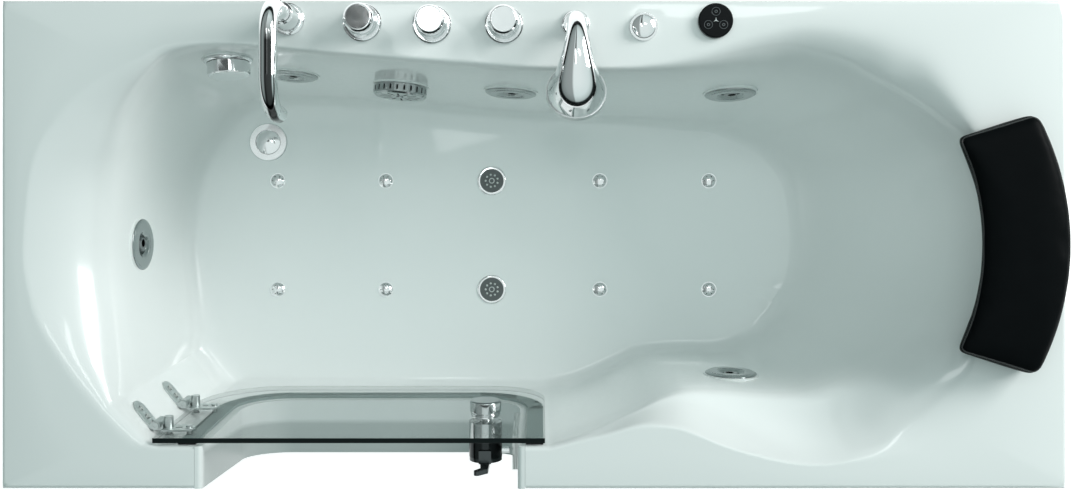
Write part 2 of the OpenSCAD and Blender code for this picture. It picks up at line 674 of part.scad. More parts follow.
module latch_bolt() {
  l = strip_x - bolt_reach - latch_x - bolt_back;
  color("silver") in_door() translate([latch_x + bolt_back, bolt_y, latch_z]) rotate([0, 90, 0]) {
    cylinder(r = bolt_r, h = l - 1);
    translate([0, 0, l - 1]) cylinder(r1 = bolt_r, r2 = bolt_r - 1, h = 1);
  }
}
module strike_strip() {
  color("silver") in_door() difference() {
    translate([strip_x, -58, latch_z - 85]) cube([strip_t, 56, 165]);
    for (y = [-50, -34, -22, -10]) translate([strip_x - 1, y - 1.5, latch_z - 86]) cube([2.5, 3, y == -50 ? 30 : 170]);
    translate([strip_x - 1, bolt_y, latch_z]) rotate([0, 90, 0]) cylinder(r = bolt_r + 0.8, h = 9);
  }
}

// ---- deck fittings ----
module tap_rings() {
  for (p = taps) at(p, rim_h) difference() {
    union() {
      cylinder(r = knob_ring_d / 2, h = 3);
      translate([0, 0, 3]) cylinder(r1 = knob_ring_d / 2, r2 = knob_ring_d / 2 - 2.5, h = 2.5);
    }
    translate([0, 0, -1]) cylinder(r = 10, h = 10);
  }
}
tap_stem_r = 6;
module valve_bodies() {
  color("brown") difference() {
    union() {
      for (p = taps) at(p, rim_h - wall_t) {
        translate([0, 0, -66]) cylinder(r = 16, h = 66);
        translate([0, 0, -10]) cylinder(r = 22, h = 10, $fn = 6);
        cylinder(r = tap_bore - 0.5, h = wall_t);
      }
      for (p = [hot_at, cold_at]) at(p, rim_h - wall_t - 90) cylinder(r = 10.5, h = 25);
      rod([hot_at[0], hot_at[1], rim_h - 48], [cold_at[0], cold_at[1], rim_h - 48], 8);
      rod([cold_at[0], cold_at[1], rim_h - 48], [divert_at[0], divert_at[1], rim_h - 48], 8);
      rod([divert_at[0], divert_at[1], rim_h - 48], [spout_at[0], spout_at[1], rim_h - 48], 8);
      at(spout_at, rim_h - 56) cylinder(r = 10, h = 56 - wall_t - 8);
    }
    for (p = taps) at(p, rim_h - wall_t - 40) cylinder(r = tap_stem_r + shaft_gap, h = 60);
    for (p = [hot_at, cold_at]) at(p, rim_h - wall_t - 91) cylinder(r = 7, h = 30);
  }
}
module tap_knob(p) {
  color("silver") at(p, rim_h + 5.5 + run_gap) difference() {
    union() {
      translate([0, 0, -5.5]) cylinder(r = 9.6, h = 6);
      translate([0, 0, -38]) cylinder(r = tap_stem_r, h = 38);
      rotate_extrude() polygon([
        [0, 0], [25, 0], [25, 3], [23, 6], [22, 10], [22, knob_h - 14], [23.5, knob_h - 10],
        [23.5, knob_h - 5], [20.5, knob_h - 1.5], [19.5, knob_h - 0.5], [0, knob_h - 0.5]
      ]);
    }
  }
}
module hot_knob() { tap_knob(hot_at); }
module cold_knob() { tap_knob(cold_at); }
module diverter_knob() { tap_knob(divert_at); }

module spout_base() {
  at(spout_at, rim_h) difference() {
    union() {
      cylinder(r = 22.5, h = 4);
      translate([0, 0, 4]) cylinder(r1 = 22.5, r2 = 19, h = 4);
      translate([0, 0, -wall_t - 8]) cylinder(r = spout_bore - 0.5, h = wall_t + 9);
      translate([0, 0, -wall_t - 8]) cylinder(r = 20, h = 8, $fn = 6);
    }
    translate([0, 0, -wall_t - 9]) cylinder(r = 8, h = 40);
  }
}
module deck_rings() {
  color("silver") {
    tap_rings();
    spout_base();
    button_bezel();
  }
}
// Spout: centre line in the Y-Z plane, as [forward, height above the deck, radius, tilt of the ring].
spout_path = [
  [0, 8, 15, 0], [0, 34, 14.6, 0], [3, 58, 14.6, 14], [12, 78, 15, 38], [28, 93, 16.5, 58],
  [48, 98, 20, 74], [68, 95, 26, 88], [88, 88, 33, 103], [103, 77, 40, 122], [110, 64, 44.5, 143], [113, 52, 46, 160]
];
spout_wall = 3;
spout_n = 28;
function ring3(p, r, n) = [
  for (k = [0:n - 1]) let (a = 360 * k / n)
    [r * cos(a), -p[0] + r * sin(a) * cos(p[3]), p[1] + r * sin(a) * sin(p[3])]
];
module bath_spout() {
  n = spout_n;
  m = len(spout_path);
  outer = [for (p = spout_path) each ring3(p, p[2], n)];
  inner = [for (i = [m - 1:-1:0]) each ring3(spout_path[i], spout_path[i][2] - spout_wall, n)];
  total = 2 * m;
  color("silver") at(spout_at, rim_h) polyhedron(
    points = concat(outer, inner),
    faces = [
      for (r = [0:total - 1], k = [0:n - 1])
        let (j = (k + 1) % n, q = (r + 1) % total, a = r * n + k, b = r * n + j, c = q * n + j, d = q * n + k)
        each [[a, c, b], [a, d, c]]
    ],
    convexity = 6
  );
}
module spout_outlet() {
  e = spout_path[len(spout_path) - 1];
  color("silver") at(spout_at, rim_h) translate([0, -e[0], e[1]]) rotate([e[3], 0, 0]) difference() {
    union() {
      cylinder(r = 47, h = 9);
      translate([0, 0, 9]) cylinder(r1 = 47, r2 = 43, h = 4);
    }
    translate([0, 0, 4]) cylinder(r = 38, h = 12);
    for (a = [0:30:330]) rotate([0, 0, a]) translate([26, 0, -1]) cylinder(r = 3, h = 10);
    for (a = [0:60:300]) rotate([0, 0, a]) translate([13, 0, -1]) cylinder(r = 3, h = 10);
  }
}

// ---- hand shower ----
cup_h = 52;
cup_r = 18;
grip_r = 13.5;
peg_h = 40;
module shower_holder() {
  color("silver") at(holder_at, rim_h) difference() {
    union() {
      cylinder(r = 26, h = 4);
      translate([0, 0, 4]) cylinder(r1 = 26, r2 = 22, h = 3);
      translate([0, 0, 7]) cylinder(r1 = 21, r2 = cup_r, h = cup_h - 7);
      translate([0, 0, -wall_t - 22]) cylinder(r = holder_bore - 0.5, h = wall_t + 23);
    }
    translate([0, 0, cup_h - peg_h]) cylinder(r = grip_r + run_gap, h = 60);
    translate([0, 0, -40]) cylinder(r = 8, h = 100);
  }
}
module holder_nut() {
  at(holder_at, rim_h - wall_t - 10) difference() {
    cylinder(r = 23, h = 10, $fn = 6);
    translate([0, 0, -1]) cylinder(r = holder_bore - 0.4, h = 12);
  }
}
bend_r = 50;
stick_top = 92;
reach = 159;
module shower_handset() {
  y1 = reach - 2 * bend_r;
  color("silver") at(holder_at, rim_h) {
    translate([0, 0, cup_h - peg_h + 0.2]) cylinder(r = grip_r, h = stick_top - cup_h + peg_h - 0.2);
    translate([0, -bend_r, stick_top]) rotate([90, 0, 90]) rotate_extrude(angle = 90) translate([bend_r, 0]) circle(grip_r);
    translate([0, -bend_r - y1, stick_top + bend_r]) rotate([-90, 0, 0]) cylinder(r = grip_r, h = y1);
    translate([0, -bend_r - y1, stick_top]) rotate([90, -90, 90]) rotate_extrude(angle = 90) translate([bend_r, 0]) circle(grip_r);
    translate([0, -reach, stick_top - 22]) cylinder(r = grip_r, h = 22);
    translate([0, 0, stick_top - 2]) cylinder(r = grip_r + 0.8, h = 4);
  }
}
module shower_face() {
  color("black") at(holder_at, rim_h) translate([0, -reach, stick_top - 26]) difference() {
    cylinder(r1 = 11.5, r2 = 12.8, h = 4);
    for (a = [0:60:300]) rotate([0, 0, a]) translate([7, 0, -1]) cylinder(r = 1, h = 3);
  }
}

// ---- air button and touch pad ----
module button_bezel() {
  at(button_at, rim_h) difference() {
    union() {
      cylinder(r = 22.5, h = 3.5);
      translate([0, 0, -wall_t - 24]) cylinder(r = button_bore - 0.5, h = wall_t + 25);
    }
    translate([0, 0, -8]) cylinder(r = 18 + run_gap, h = 20);
    translate([0, 0, -wall_t - 20]) cylinder(r = 12, h = 40);
  }
}
module button_nut() {
  at(button_at, rim_h - wall_t - 8) difference() {
    cylinder(r = 27, h = 8, $fn = 6);
    translate([0, 0, -1]) cylinder(r = button_bore - 0.4, h = 10);
  }
}
button_up = 7;
module air_button() {
  color("silver") at(button_at, rim_h + button_up) intersection() {
    translate([0, 0, -32 + 9]) sphere(r = 32);
    translate([0, 0, -8]) cylinder(r = 18, h = 20);
  }
}
icon_r = 14;
module touch_pad() {
  color("black") at(pad_at, rim_h) difference() {
    union() {
      cylinder(r = 27.5, h = 8);
      translate([0, 0, 8]) cylinder(r1 = 27.5, r2 = 26, h = 1.5);
      translate([0, 0, -wall_t - 14]) cylinder(r = pad_bore - 0.4, h = wall_t + 15);
    }
    for (a = [90, 210, 330]) rotate([0, 0, a]) translate([icon_r, 0, 9.1]) difference() {
      cylinder(r = 7, h = 2);
      translate([0, 0, -1]) cylinder(r = 6, h = 4);
      rotate([0, 0, 180]) translate([5, -2.5, -1]) cube([4, 5, 4]);
    }
  }
}

// ---- waste and overflow ----
module drain_flange() {
  color("silver") at(drain_at, floor_z) difference() {
    union() {
      cylinder(r1 = 37.5, r2 = 35.5, h = 3);
      translate([0, 0, -62]) cylinder(r = 27, h = 63);
    }
    translate([0, 0, -3]) cylinder(r = 24.6, h = 10);
    difference() {
      translate([0, 0, -63]) cylinder(r = 22.5, h = 66);
      translate([0, 0, -30]) cylinder(r = 8, h = 14);
      for (a = [0, 60, 120]) rotate([0, 0, a]) translate([-24, -2, -26]) cube([48, 4, 6]);
    }
    translate([0, 0, -70]) cylinder(r = 4 + shaft_gap, h = 80);
  }
}
module drain_nut() {
  at(drain_at, board_z - 10) difference() {
    cylinder(r = 40, h = 10, $fn = 8);
    translate([0, 0, -1]) cylinder(r = 27.1, h = 12);
  }
}
module lock_nuts() {
  color("black") {
    holder_nut();
    button_nut();
    drain_nut();
  }
}
module drain_plug() {
  color("silver") at(drain_at, floor_z) {
    intersection() {
      translate([0, 0, 6 - 60]) sphere(r = 60);
      translate([0, 0, -2.6]) cylinder(r = 24, h = 10);
    }
    translate([0, 0, -48]) cylinder(r = 4, h = 48);
  }
}
waste_z = 58;
waste_l = 28;
module waste_pipe() {
  color("dimgray") overflow_pipe();
  color("dimgray") difference() {
    union() {
      at(drain_at, waste_z - 25) cylinder(r = 31, h = floor_z - 62 - waste_z + 39);
      translate([drain_at[0], drain_at[1], waste_z]) rotate([-90, 0, 0]) cylinder(r = 19, h = half_w - 6 - drain_at[1]);
      translate([drain_at[0], half_w - 6 - waste_l, waste_z]) rotate([-90, 0, 0]) cylinder(r = 20, h = waste_l);
      translate([overflow_x, overflow_y, waste_z]) cylinder(r = 14, h = 170 - waste_z);
      rod([overflow_x, overflow_y, waste_z], [drain_at[0], overflow_y, waste_z], 14);
    }
    at(drain_at, waste_z - 18) cylinder(r = 27.1, h = floor_z - waste_z);
    translate([drain_at[0], drain_at[1], waste_z]) rotate([-90, 0, 0]) cylinder(r = 17, h = half_w);
    translate([overflow_x, overflow_y, waste_z + 17]) cylinder(r = 11.5, h = 200);
  }
}
overflow_p = wall_pt(overflow_i, overflow_d);
overflow_x = overflow_p[0];
overflow_y = 339 * ky;
overflow_z = overflow_p[2];
module overflow_pipe() {
  difference() {
    union() {
      translate([overflow_x, overflow_y, 120]) cylinder(r = 11.4, h = overflow_z - 120 - 12);
      translate([overflow_x, overflow_y, overflow_z - 26]) cylinder(r = 15, h = 44);
      on_wall(overflow_i, overflow_d) translate([0, 0, -flange_back - 22]) cylinder(r = 22, h = 20);
    }
    on_wall(overflow_i, overflow_d) translate([0, 0, -flange_back - 16]) cylinder(r = 18, h = 40);
    translate([overflow_x, overflow_y, 110]) cylinder(r = 9, h = overflow_z - 110);
  }
}
module overflow_flange() {
  color("silver") on_wall(overflow_i, overflow_d) translate([0, 0, jet_pad]) difference() {
    union() {
      cylinder(r = 40, h = 3);
      translate([0, 0, 3]) cylinder(r1 = 40, r2 = 37.5, h = 2.5);
      translate([0, 0, -jet_pad - flange_back - 2]) cylinder(r = overflow_bore - 0.5, h = jet_pad + flange_back + 3);
    }
    translate([0, 0, -40]) cylinder(r = 5 + shaft_gap, h = 60);
    for (a = [0:60:300]) rotate([0, 0, a]) translate([16, 0, -40]) cylinder(r = 4, h = 60);
  }
}
module overflow_dial() {
  color("silver") on_wall(overflow_i, overflow_d) translate([0, 0, jet_pad + 5.5 + run_gap]) {
    intersection() {
      translate([0, 0, 0]) cylinder(r = 35, h = 20);
      rotate([0, 0, 22.5]) cylinder(r = 36.8, h = 20, $fn = 8);
    }
    intersection() {
      translate([0, 0, 20]) cylinder(r1 = 35, r2 = 31, h = 2.5);
      translate([0, 0, 20]) rotate([0, 0, 22.5]) cylinder(r = 36.8, h = 2.5, $fn = 8);
    }
    translate([0, 0, -26]) cylinder(r = 5, h = 26);
  }
}

// ---- hydromassage jets ----
stub_l = 44;
stub_back = flange_back + 22;
stub_s = [1, 1, 1, -1, -1];
module jet_bodies() {
  color("gray") for (k = [0:4]) on_wall(wall_jets[k][0], wall_jets[k][1]) difference() {
    union() {
      translate([0, 0, -flange_back - 34]) cylinder(r = jet_plug, h = flange_back + 34 + jet_pad);
      translate([0, 0, -flange_back - 9]) cylinder(r = 38, h = 9, $fn = 8);
      translate([0, 0, -stub_back]) rotate([-90 * stub_s[k], 0, 0]) cylinder(r = 11, h = stub_l);
    }
    translate([0, 0, -flange_back - 26]) cylinder(r = 21, h = 60);
  }
  color("gray") suction_body();
}
module jet_rings() {
  color("silver") for (j = wall_jets) on_wall(j[0], j[1]) translate([0, 0, jet_pad]) difference() {
    union() {
      cylinder(r = jet_d / 2, h = 1.5);
      translate([0, 0, 1.5]) cylinder(r1 = jet_d / 2, r2 = jet_d / 2 - 6, h = 3);
      translate([0, 0, -14]) cylinder(r = 20.9, h = 15);
    }
    translate([0, 0, -15]) cylinder(r = 17.5, h = 14);
    translate([0, 0, -1.2]) cylinder(r1 = 17.5, r2 = 27, h = 6);
  }
}
module jet_nozzle(k) {
  j = wall_jets[k];
  color("dimgray") on_wall(j[0], j[1]) translate([0, 0, jet_pad]) difference() {
    union() {
      translate([0, 0, -13]) cylinder(r = 17.5 - shaft_gap, h = 9);
      translate([0, 0, -4.5]) cylinder(r1 = 16, r2 = 12, h = 6);
    }
    translate([2.5, 0, -20]) cylinder(r = 7, h = 30);
  }
}
module jet_nozzle_rear_right() { jet_nozzle(0); }
module jet_nozzle_rear_mid() { jet_nozzle(1); }
module jet_nozzle_rear_left() { jet_nozzle(2); }
module jet_nozzle_foot() { jet_nozzle(3); }
module jet_nozzle_front() { jet_nozzle(4); }

// ---- suction ----
module suction_cap() {
  color("silver") on_wall(suction_i, suction_d) translate([0, 0, jet_pad]) difference() {
    union() {
      cylinder(r = 47.5, h = 15);
      translate([0, 0, 15]) cylinder(r1 = 47.5, r2 = 44, h = 3);
      translate([0, 0, 17]) cylinder(r = 6, h = 2.5);
    }
    translate([0, 0, -1]) cylinder(r = 40, h = 14);
    for (a = [0:15:345]) rotate([0, 0, a]) translate([36, -1.6, 3]) cube([14, 3.2, 9]);
    for (a = [0:30:330]) rotate([0, 0, a]) translate([16, -1.6, 10]) cube([20, 3.2, 12]);
  }
}
suction_back = flange_back + 30;
module suction_body() {
  on_wall(suction_i, suction_d) difference() {
    union() {
      translate([0, 0, -suction_back]) cylinder(r = suction_bore - 0.4, h = suction_back + jet_pad);
      translate([0, 0, -flange_back - 9]) cylinder(r = 40, h = 9, $fn = 8);
    }
    translate([0, 0, -flange_back - 22]) cylinder(r = 24, h = 60);
    translate([0, 0, -suction_back - 1]) cylinder(r = 10, h = 20);
  }
}

// ---- floor air jets and bubblers ----
module air_jets() {
  color("silver") for (x = air_x, y = air_y) at([x, y], floor_z) difference() {
    union() {
      cylinder(r = 15, h = 1.5);
      intersection() {
        translate([0, 0, 7 - 19]) sphere(r = 19);
        cylinder(r = 14, h = 8);
      }
      translate([0, 0, -42]) cylinder(r = air_bore - 0.4, h = 43);
    }
    translate([0, 0, -43]) cylinder(r = 5, h = 46);
    for (a = [0:60:300]) rotate([0, 0, a]) translate([6, 0, 0]) rotate([0, 35, 0]) cylinder(r = 1.2, h = 12);
  }
}
module bubbler_rings() {
  color("silver") for (y = air_y) at([bubbler_x, y], floor_z) difference() {
    union() {
      cylinder(r = 28, h = 2);
      translate([0, 0, 2]) cylinder(r1 = 28, r2 = 25.5, h = 2);
      translate([0, 0, -42]) cylinder(r = bubbler_bore - 0.4, h = 43);
    }
    translate([0, 0, 1]) cylinder(r = 23, h = 5);
    translate([0, 0, -43]) cylinder(r = 18, h = 50);
  }
}
module bubbler_faces() {
  color("dimgray") for (y = air_y) at([bubbler_x, y], floor_z + 1) difference() {
    union() {
      cylinder(r = 22.9, h = 2.2);
      translate([0, 0, 1]) cylinder(r = 4.5, h = 2.4);
      for (a = [20:40:340]) rotate([0, 0, a]) translate([12, 0, 1]) cylinder(r = 2, h = 2);
      translate([0, 0, -6]) cylinder(r = 17.8, h = 7);
    }
    for (a = [0:40:320]) rotate([0, 0, a]) translate([18.5, 0, 1]) cylinder(r = 1.4, h = 3);
  }
}

// ---- works under the shell ----
module circulation_pump() {
  z = rail_z + tray_t + 68;
  color("dimgray") {
    translate([pump_x, pump_y - 50, z]) rotate([-90, 0, 0]) cylinder(r = 52, h = 170);
    translate([pump_x, pump_y - 100, z]) rotate([-90, 0, 0]) cylinder(r = 66, h = 52);
    translate([pump_x - 45, pump_y - 90, z - 68]) cube([90, 200, 20]);
    translate([pump_x, pump_y - 120, z]) rotate([-90, 0, 0]) cylinder(r = 24, h = 30);
    translate([pump_x - 25, pump_y + 10, z + 40]) cube([50, 80, 30]);
    translate([pump_x - 20, pump_y - 94, z + 50]) cube([40, 40, 24]);
    for (k = [0:5]) translate([pump_x, pump_y + 60 + k * 9, z]) rotate([-90, 0, 0]) cylinder(r = 56, h = 3);
  }
}
blower_at = [-panel_x + 75, 150];
blower_z = rail_z + tray_t + 30;
module air_blower() {
  color("dimgray") at(blower_at, rail_z + tray_t) {
    cylinder(r = 48, h = 70);
    translate([0, 0, 70]) cylinder(r1 = 48, r2 = 36, h = 16);
    translate([0, 0, 86]) cylinder(r = 18, h = 14);
    translate([0, 0, 30]) rotate([90, 0, 0]) cylinder(r = 14, h = 80);
  }
}
module control_box() {
  color("ivory") translate([panel_x - 46, 110, 290]) {
    cube([46, 170, 130]);
    translate([-4, 8, 8]) cube([6, 154, 114]);
    for (y = [25, 60, 95]) translate([20, y, -14]) cylinder(r = 8, h = 15);
  }
}
// The end of a jet's stub, l further along it.
function jet_tip(k, l) =
  let (i = wall_jets[k][0], d = wall_jets[k][1])
  wall_pt(i, d) - stub_back * wall_in(i, d) + stub_s[k] * (stub_l + l) * wall_rise(i, d);
riser_l = [26, 26, 26, 156, 94];
module pipe_run(points, r) {
  for (k = [0:len(points) - 2]) rod(points[k], points[k + 1], r);
  if (len(points) > 2) for (k = [1:len(points) - 2]) translate(points[k]) cube(2 * r + 3, center = true);
}
module block(p, size) {
  translate(p) cube(size, center = true);
}
module water_pipes() {
  d_z = rail_z + tray_t + 170;
  right = jet_tip(0, riser_l[0]);
  mid = jet_tip(1, riser_l[1]);
  front = jet_tip(4, riser_l[4]);
  left = jet_tip(3, riser_l[3]);
  end = jet_tip(2, riser_l[2]);
  turn = [430 * kx, half_w - 56, right[2]];
  dis = [pump_x, pump_y - 74, d_z];
  low = [300 * kx, -half_w + 65, rail_z + 111];
  color("white") {
    for (k = [0:4]) on_wall(wall_jets[k][0], wall_jets[k][1]) translate([0, stub_s[k] * stub_l, -stub_back]) {
      rotate([-90 * stub_s[k], 0, 0]) cylinder(r = 10.5, h = riser_l[k]);
    }
    pipe_run([end, mid, right, turn, [pump_x, turn[1], turn[2]], [pump_x, turn[1], d_z], dis], 13);
    pipe_run([dis, [pump_x, front[1], d_z], front, low, [left[0], low[1], low[2]], left], 12);
    for (p = [end, left]) block(p, 28);
    block(dis, 32);
    translate([dis[0], dis[1], rail_z + tray_t + 142]) cylinder(r = 12, h = 20);
  }
}
module suction_pipe() {
  elbow = wall_pt(suction_i, suction_d) - (suction_back + 14) * wall_in(suction_i, suction_d);
  low = rail_z + tray_t + 63;
  far = panel_x - 50;
  y = pump_y - 150;
  color("white") {
    on_wall(suction_i, suction_d) translate([-18, -20, -suction_back - 28]) cube([36, 40, 28]);
    pipe_run([elbow, [elbow[0], elbow[1], low], [far, elbow[1], low], [far, y, low], [pump_x, y, low]], 13);
    block([pump_x, y, low + 2], [34, 28, 36]);
    translate([pump_x, y, rail_z + tray_t + 68]) rotate([-90, 0, 0]) cylinder(r = 13, h = 30);
  }
}
module air_pipes() {
  r = 9;
  z = joist_z - 12;
  b = blower_at;
  in_x = -640 * kx;
  color("white") {
    pipe_run([[b[0], b[1] - 80, blower_z], [b[0], b[1] - 110, blower_z], [b[0], b[1] - 110, z], [in_x, b[1] - 110, z]], r);
    rod([in_x, air_y[1], z], [in_x, air_y[0], z], r);
    block([in_x, b[1] - 110, z], 22);
    for (y = air_y) rod([in_x, y, z], [air_x[3], y, z], r);
    for (x = concat(in_x, air_x), y = air_y) block([x, y, z], 21);
    for (x = air_x, y = air_y) at([x, y], z) cylinder(r = 9.5, h = floor_z - 42 - z);
    for (y = air_y) at([bubbler_x, y], z) cylinder(r = 14, h = floor_z - 42 - z);
  }
}

// ---- pillow: a curved bolster, its outline a rounded rectangle bent round the head of the bath ----
pillow_n = 64;
function soft(c) = sign(c) * pow(abs(c), 0.36);
function bolster(a, k) =
  let (
    u = (1 + k * soft(cos(a))) / 2,
    v = k * soft(sin(a)),
    p = [257 + 430 * cos(v * 23.3), 430 * sin(v * 23.3)],
    q = [467.6 + 370 * cos(v * 33.6), 370 * sin(v * 33.6)]
  )
  blend(p, q, u);
// Each ring: how far out, and how high as a share of the pillow's height.
pillow_rings = [
  [0.94, 0], [0.985, 0.08], [1, 0.22], [1, 0.5], [0.985, 0.68], [0.95, 0.8], [0.87, 0.9], [0.74, 0.96], [0.5, 0.99], [0.25, 1]
];
module pillow() {
  n = pillow_n;
  m = len(pillow_rings);
  pts = [for (r = pillow_rings, k = [0:n - 1]) let (b = bolster(360 * k / n, r[0])) [b[0] + half_l - 850, b[1], rim_h + r[1] * pillow_h]];
  color("black") polyhedron(
    points = pts,
    faces = concat(
      [[for (k = [0:n - 1]) k]],
      [[for (k = [n - 1:-1:0]) (m - 1) * n + k]],
      [
        for (r = [0:m - 2], k = [0:n - 1])
          let (j = (k + 1) % n, a = r * n + k, b = r * n + j, c = b + n, d = a + n)
          each [[a, c, b], [a, d, c]]
      ]
    ),
    convexity = 4
  );
}
module pillow_pegs() {
  color("black") for (p = peg_at) at(p, rim_h - 24) cylinder(r = peg_r, h = 24);
}

tub_shell();
doorway_reveal();
front_apron();
end_panels();
screws();
door_seal();
long_rails();
end_rails();
joists();
posts();
foot_studs();
foot_pads();
floor_board();
door_glass();
hinge_wall_leaves();
hinge_glass_leaves();
hinge_clamps();
latch_housing();
latch_rose();
latch_knob();
latch_lever();
latch_bolt();
strike_strip();
deck_rings();
valve_bodies();
hot_knob();
cold_knob();
diverter_knob();
bath_spout();
spout_outlet();
shower_holder();
lock_nuts();
shower_handset();
shower_face();
air_button();
touch_pad();
drain_flange();
drain_plug();
waste_pipe();
overflow_flange();
overflow_dial();
jet_bodies();
jet_rings();
jet_nozzle_rear_right();
jet_nozzle_rear_mid();
jet_nozzle_rear_left();
jet_nozzle_foot();
jet_nozzle_front();
suction_cap();
air_jets();
bubbler_rings();
bubbler_faces();
circulation_pump();
air_blower();
control_box();
water_pipes();
suction_pipe();
air_pipes();
pillow();
pillow_pegs();
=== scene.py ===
# %% [markdown]
# # A walk-in hydromassage bath seen from above
# The part was drawn and packed as solids first. This notebook dresses those solids: it loads them as a
# fixed frame, photographs them from straight above, and gives every visible piece the surface the real one
# has. Soft or rolled forms are modelled again here with more points than the solids carry.

# %% Load the fixed frame
import json
import math

import bmesh
import bpy
from mathutils import Matrix, Vector


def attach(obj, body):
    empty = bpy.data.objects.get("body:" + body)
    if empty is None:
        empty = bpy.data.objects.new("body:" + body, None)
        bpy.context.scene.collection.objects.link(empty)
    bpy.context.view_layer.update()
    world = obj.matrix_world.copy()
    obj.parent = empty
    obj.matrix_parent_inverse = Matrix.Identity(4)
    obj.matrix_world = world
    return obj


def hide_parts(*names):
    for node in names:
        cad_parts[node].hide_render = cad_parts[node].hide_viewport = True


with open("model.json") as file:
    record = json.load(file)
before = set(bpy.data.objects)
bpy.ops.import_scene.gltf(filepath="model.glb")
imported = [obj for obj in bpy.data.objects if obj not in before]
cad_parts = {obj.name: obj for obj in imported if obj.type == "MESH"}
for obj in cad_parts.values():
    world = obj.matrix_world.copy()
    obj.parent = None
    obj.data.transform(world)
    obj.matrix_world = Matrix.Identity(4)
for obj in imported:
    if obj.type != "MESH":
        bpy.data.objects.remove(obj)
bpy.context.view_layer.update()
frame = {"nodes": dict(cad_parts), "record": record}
node = frame["nodes"]
bpy.ops.object.select_all(action="DESELECT")

# %% [markdown]
# The photograph is a plan view. The camera hangs 2.5 m over the floor, a hair right of the middle, and
# looks straight down, so the rim shows larger than the basin floor by exactly the amount that the picture
# shows.

# %% Camera
CAMERA_X, CAMERA_HEIGHT, LENS_MM = 0.0096, 2.5, 39.71
bpy.ops.object.camera_add(location=(CAMERA_X, 0.0, CAMERA_HEIGHT), rotation=(0.0, 0.0, 0.0))
plan_camera = bpy.context.object
plan_camera.name = "plan_camera"
plan_camera.data.lens = LENS_MM
plan_camera.data.sensor_width = 36.0
plan_camera.data.clip_end = 50.0
bpy.context.scene.camera = plan_camera
bpy.context.scene.view_settings.view_transform = "Standard"
print("lens:", plan_camera.data.lens)

# %% [markdown]
# Light, floor and finishes are all made of shader nodes. A few small helpers keep them readable: one does
# arithmetic, one mixes two shaders, one tells which kinds of rays arrive, and one paints a band of colours.


# %% Helpers for shader nodes
def arithmetic(tree, how, one, two):
    made = tree.nodes.new("ShaderNodeMath")
    made.operation = how
    tree.links.new(one, made.inputs[0])
    if isinstance(two, float):
        made.inputs[1].default_value = two
    else:
        tree.links.new(two, made.inputs[1])
    return made.outputs[0]


def mixed_shader(tree, share, one, two):
    made = tree.nodes.new("ShaderNodeMixShader")
    for source, socket in zip((share, one, two), made.inputs):
        tree.links.new(source, socket)
    return made.outputs[0]


def seen_by(tree, *kinds):
    rays = tree.nodes.new("ShaderNodeLightPath")
    share = rays.outputs[kinds[0]]
    for kind in kinds[1:]:
        share = arithmetic(tree, "MAXIMUM", share, rays.outputs[kind])
    return share


def colour_band(tree, source, marks):
    made = tree.nodes.new("ShaderNodeValToRGB")
    tree.links.new(source, made.inputs["Fac"])
    stops = made.color_ramp.elements
    for stop, (position, colour) in zip(stops, (marks[0], marks[-1])):
        stop.position, stop.color = position, (*colour, 1)
    for position, colour in marks[1:-1]:
        stops.new(position).color = (*colour, 1)
    return made.outputs["Color"]


print("node helpers ready")

# %% [markdown]
# Sanitary ware is photographed in a white tent with one broad lamp. Here the lamp stands over the tap side,
# so the wall under the taps falls into soft shade and the wall opposite stays light. The room is a pale
# dome that darkens towards the horizon, which gives the chrome something to draw its dark lines with. A
# short strip lamp high behind the taps draws the bright line along the crest of the armrest.

# %% Room
ROOM_GLOW, CURTAIN_GLOW, LEFT_GLOW = 0.86, 0.11, 0.42
room = bpy.data.worlds.new("pale_room")
room.use_nodes = True
bpy.context.scene.world = room
room_tree = room.node_tree
room_tree.nodes.clear()
where = room_tree.nodes.new("ShaderNodeTexCoord")
way = room_tree.nodes.new("ShaderNodeSeparateXYZ")
room_tree.links.new(where.outputs["Generated"], way.inputs[0])


def slant(axis, start, stop, low, high):
    # A way sideways divided by the way up: equal values lie on a straight line across the ceiling.
    edge = room_tree.nodes.new("ShaderNodeMapRange")
    edge.interpolation_type = "SMOOTHSTEP"
    for socket, value in zip(("From Min", "From Max", "To Min", "To Max"), (start, stop, low, high)):
        edge.inputs[socket].default_value = value
    ratio = arithmetic(room_tree, "DIVIDE", way.outputs[axis], way.outputs["Z"])
    room_tree.links.new(ratio, edge.inputs["Value"])
    return edge.outputs["Result"]


def background(colour, strength):
    made = room_tree.nodes.new("ShaderNodeBackground")
    room_tree.links.new(colour, made.inputs["Color"])
    room_tree.links.new(strength, made.inputs["Strength"])
    return made.outputs[0]


# A dark curtain hangs over the rear left, so flat chrome tops differ from one another.
curtain_sides = arithmetic(
    room_tree, "MAXIMUM", slant("X", -0.130, -0.118, CURTAIN_GLOW, 1.0), slant("X", -0.34, -0.30, 1.0, 0.0),
)
uncovered = arithmetic(room_tree, "MAXIMUM", curtain_sides, slant("Y", 0.092, 0.102, 1.0, 0.0))
dome_colour = colour_band(room_tree, way.outputs["Z"], [
    (0.0, (0.020, 0.026, 0.026)), (0.24, (0.029, 0.040, 0.040)), (0.40, (0.288, 0.37, 0.36)),
    (0.75, (0.54, 0.68, 0.665)), (1.0, (0.775, 0.97, 0.95)),
])
dome = background(dome_colour, arithmetic(room_tree, "MULTIPLY", uncovered, ROOM_GLOW))
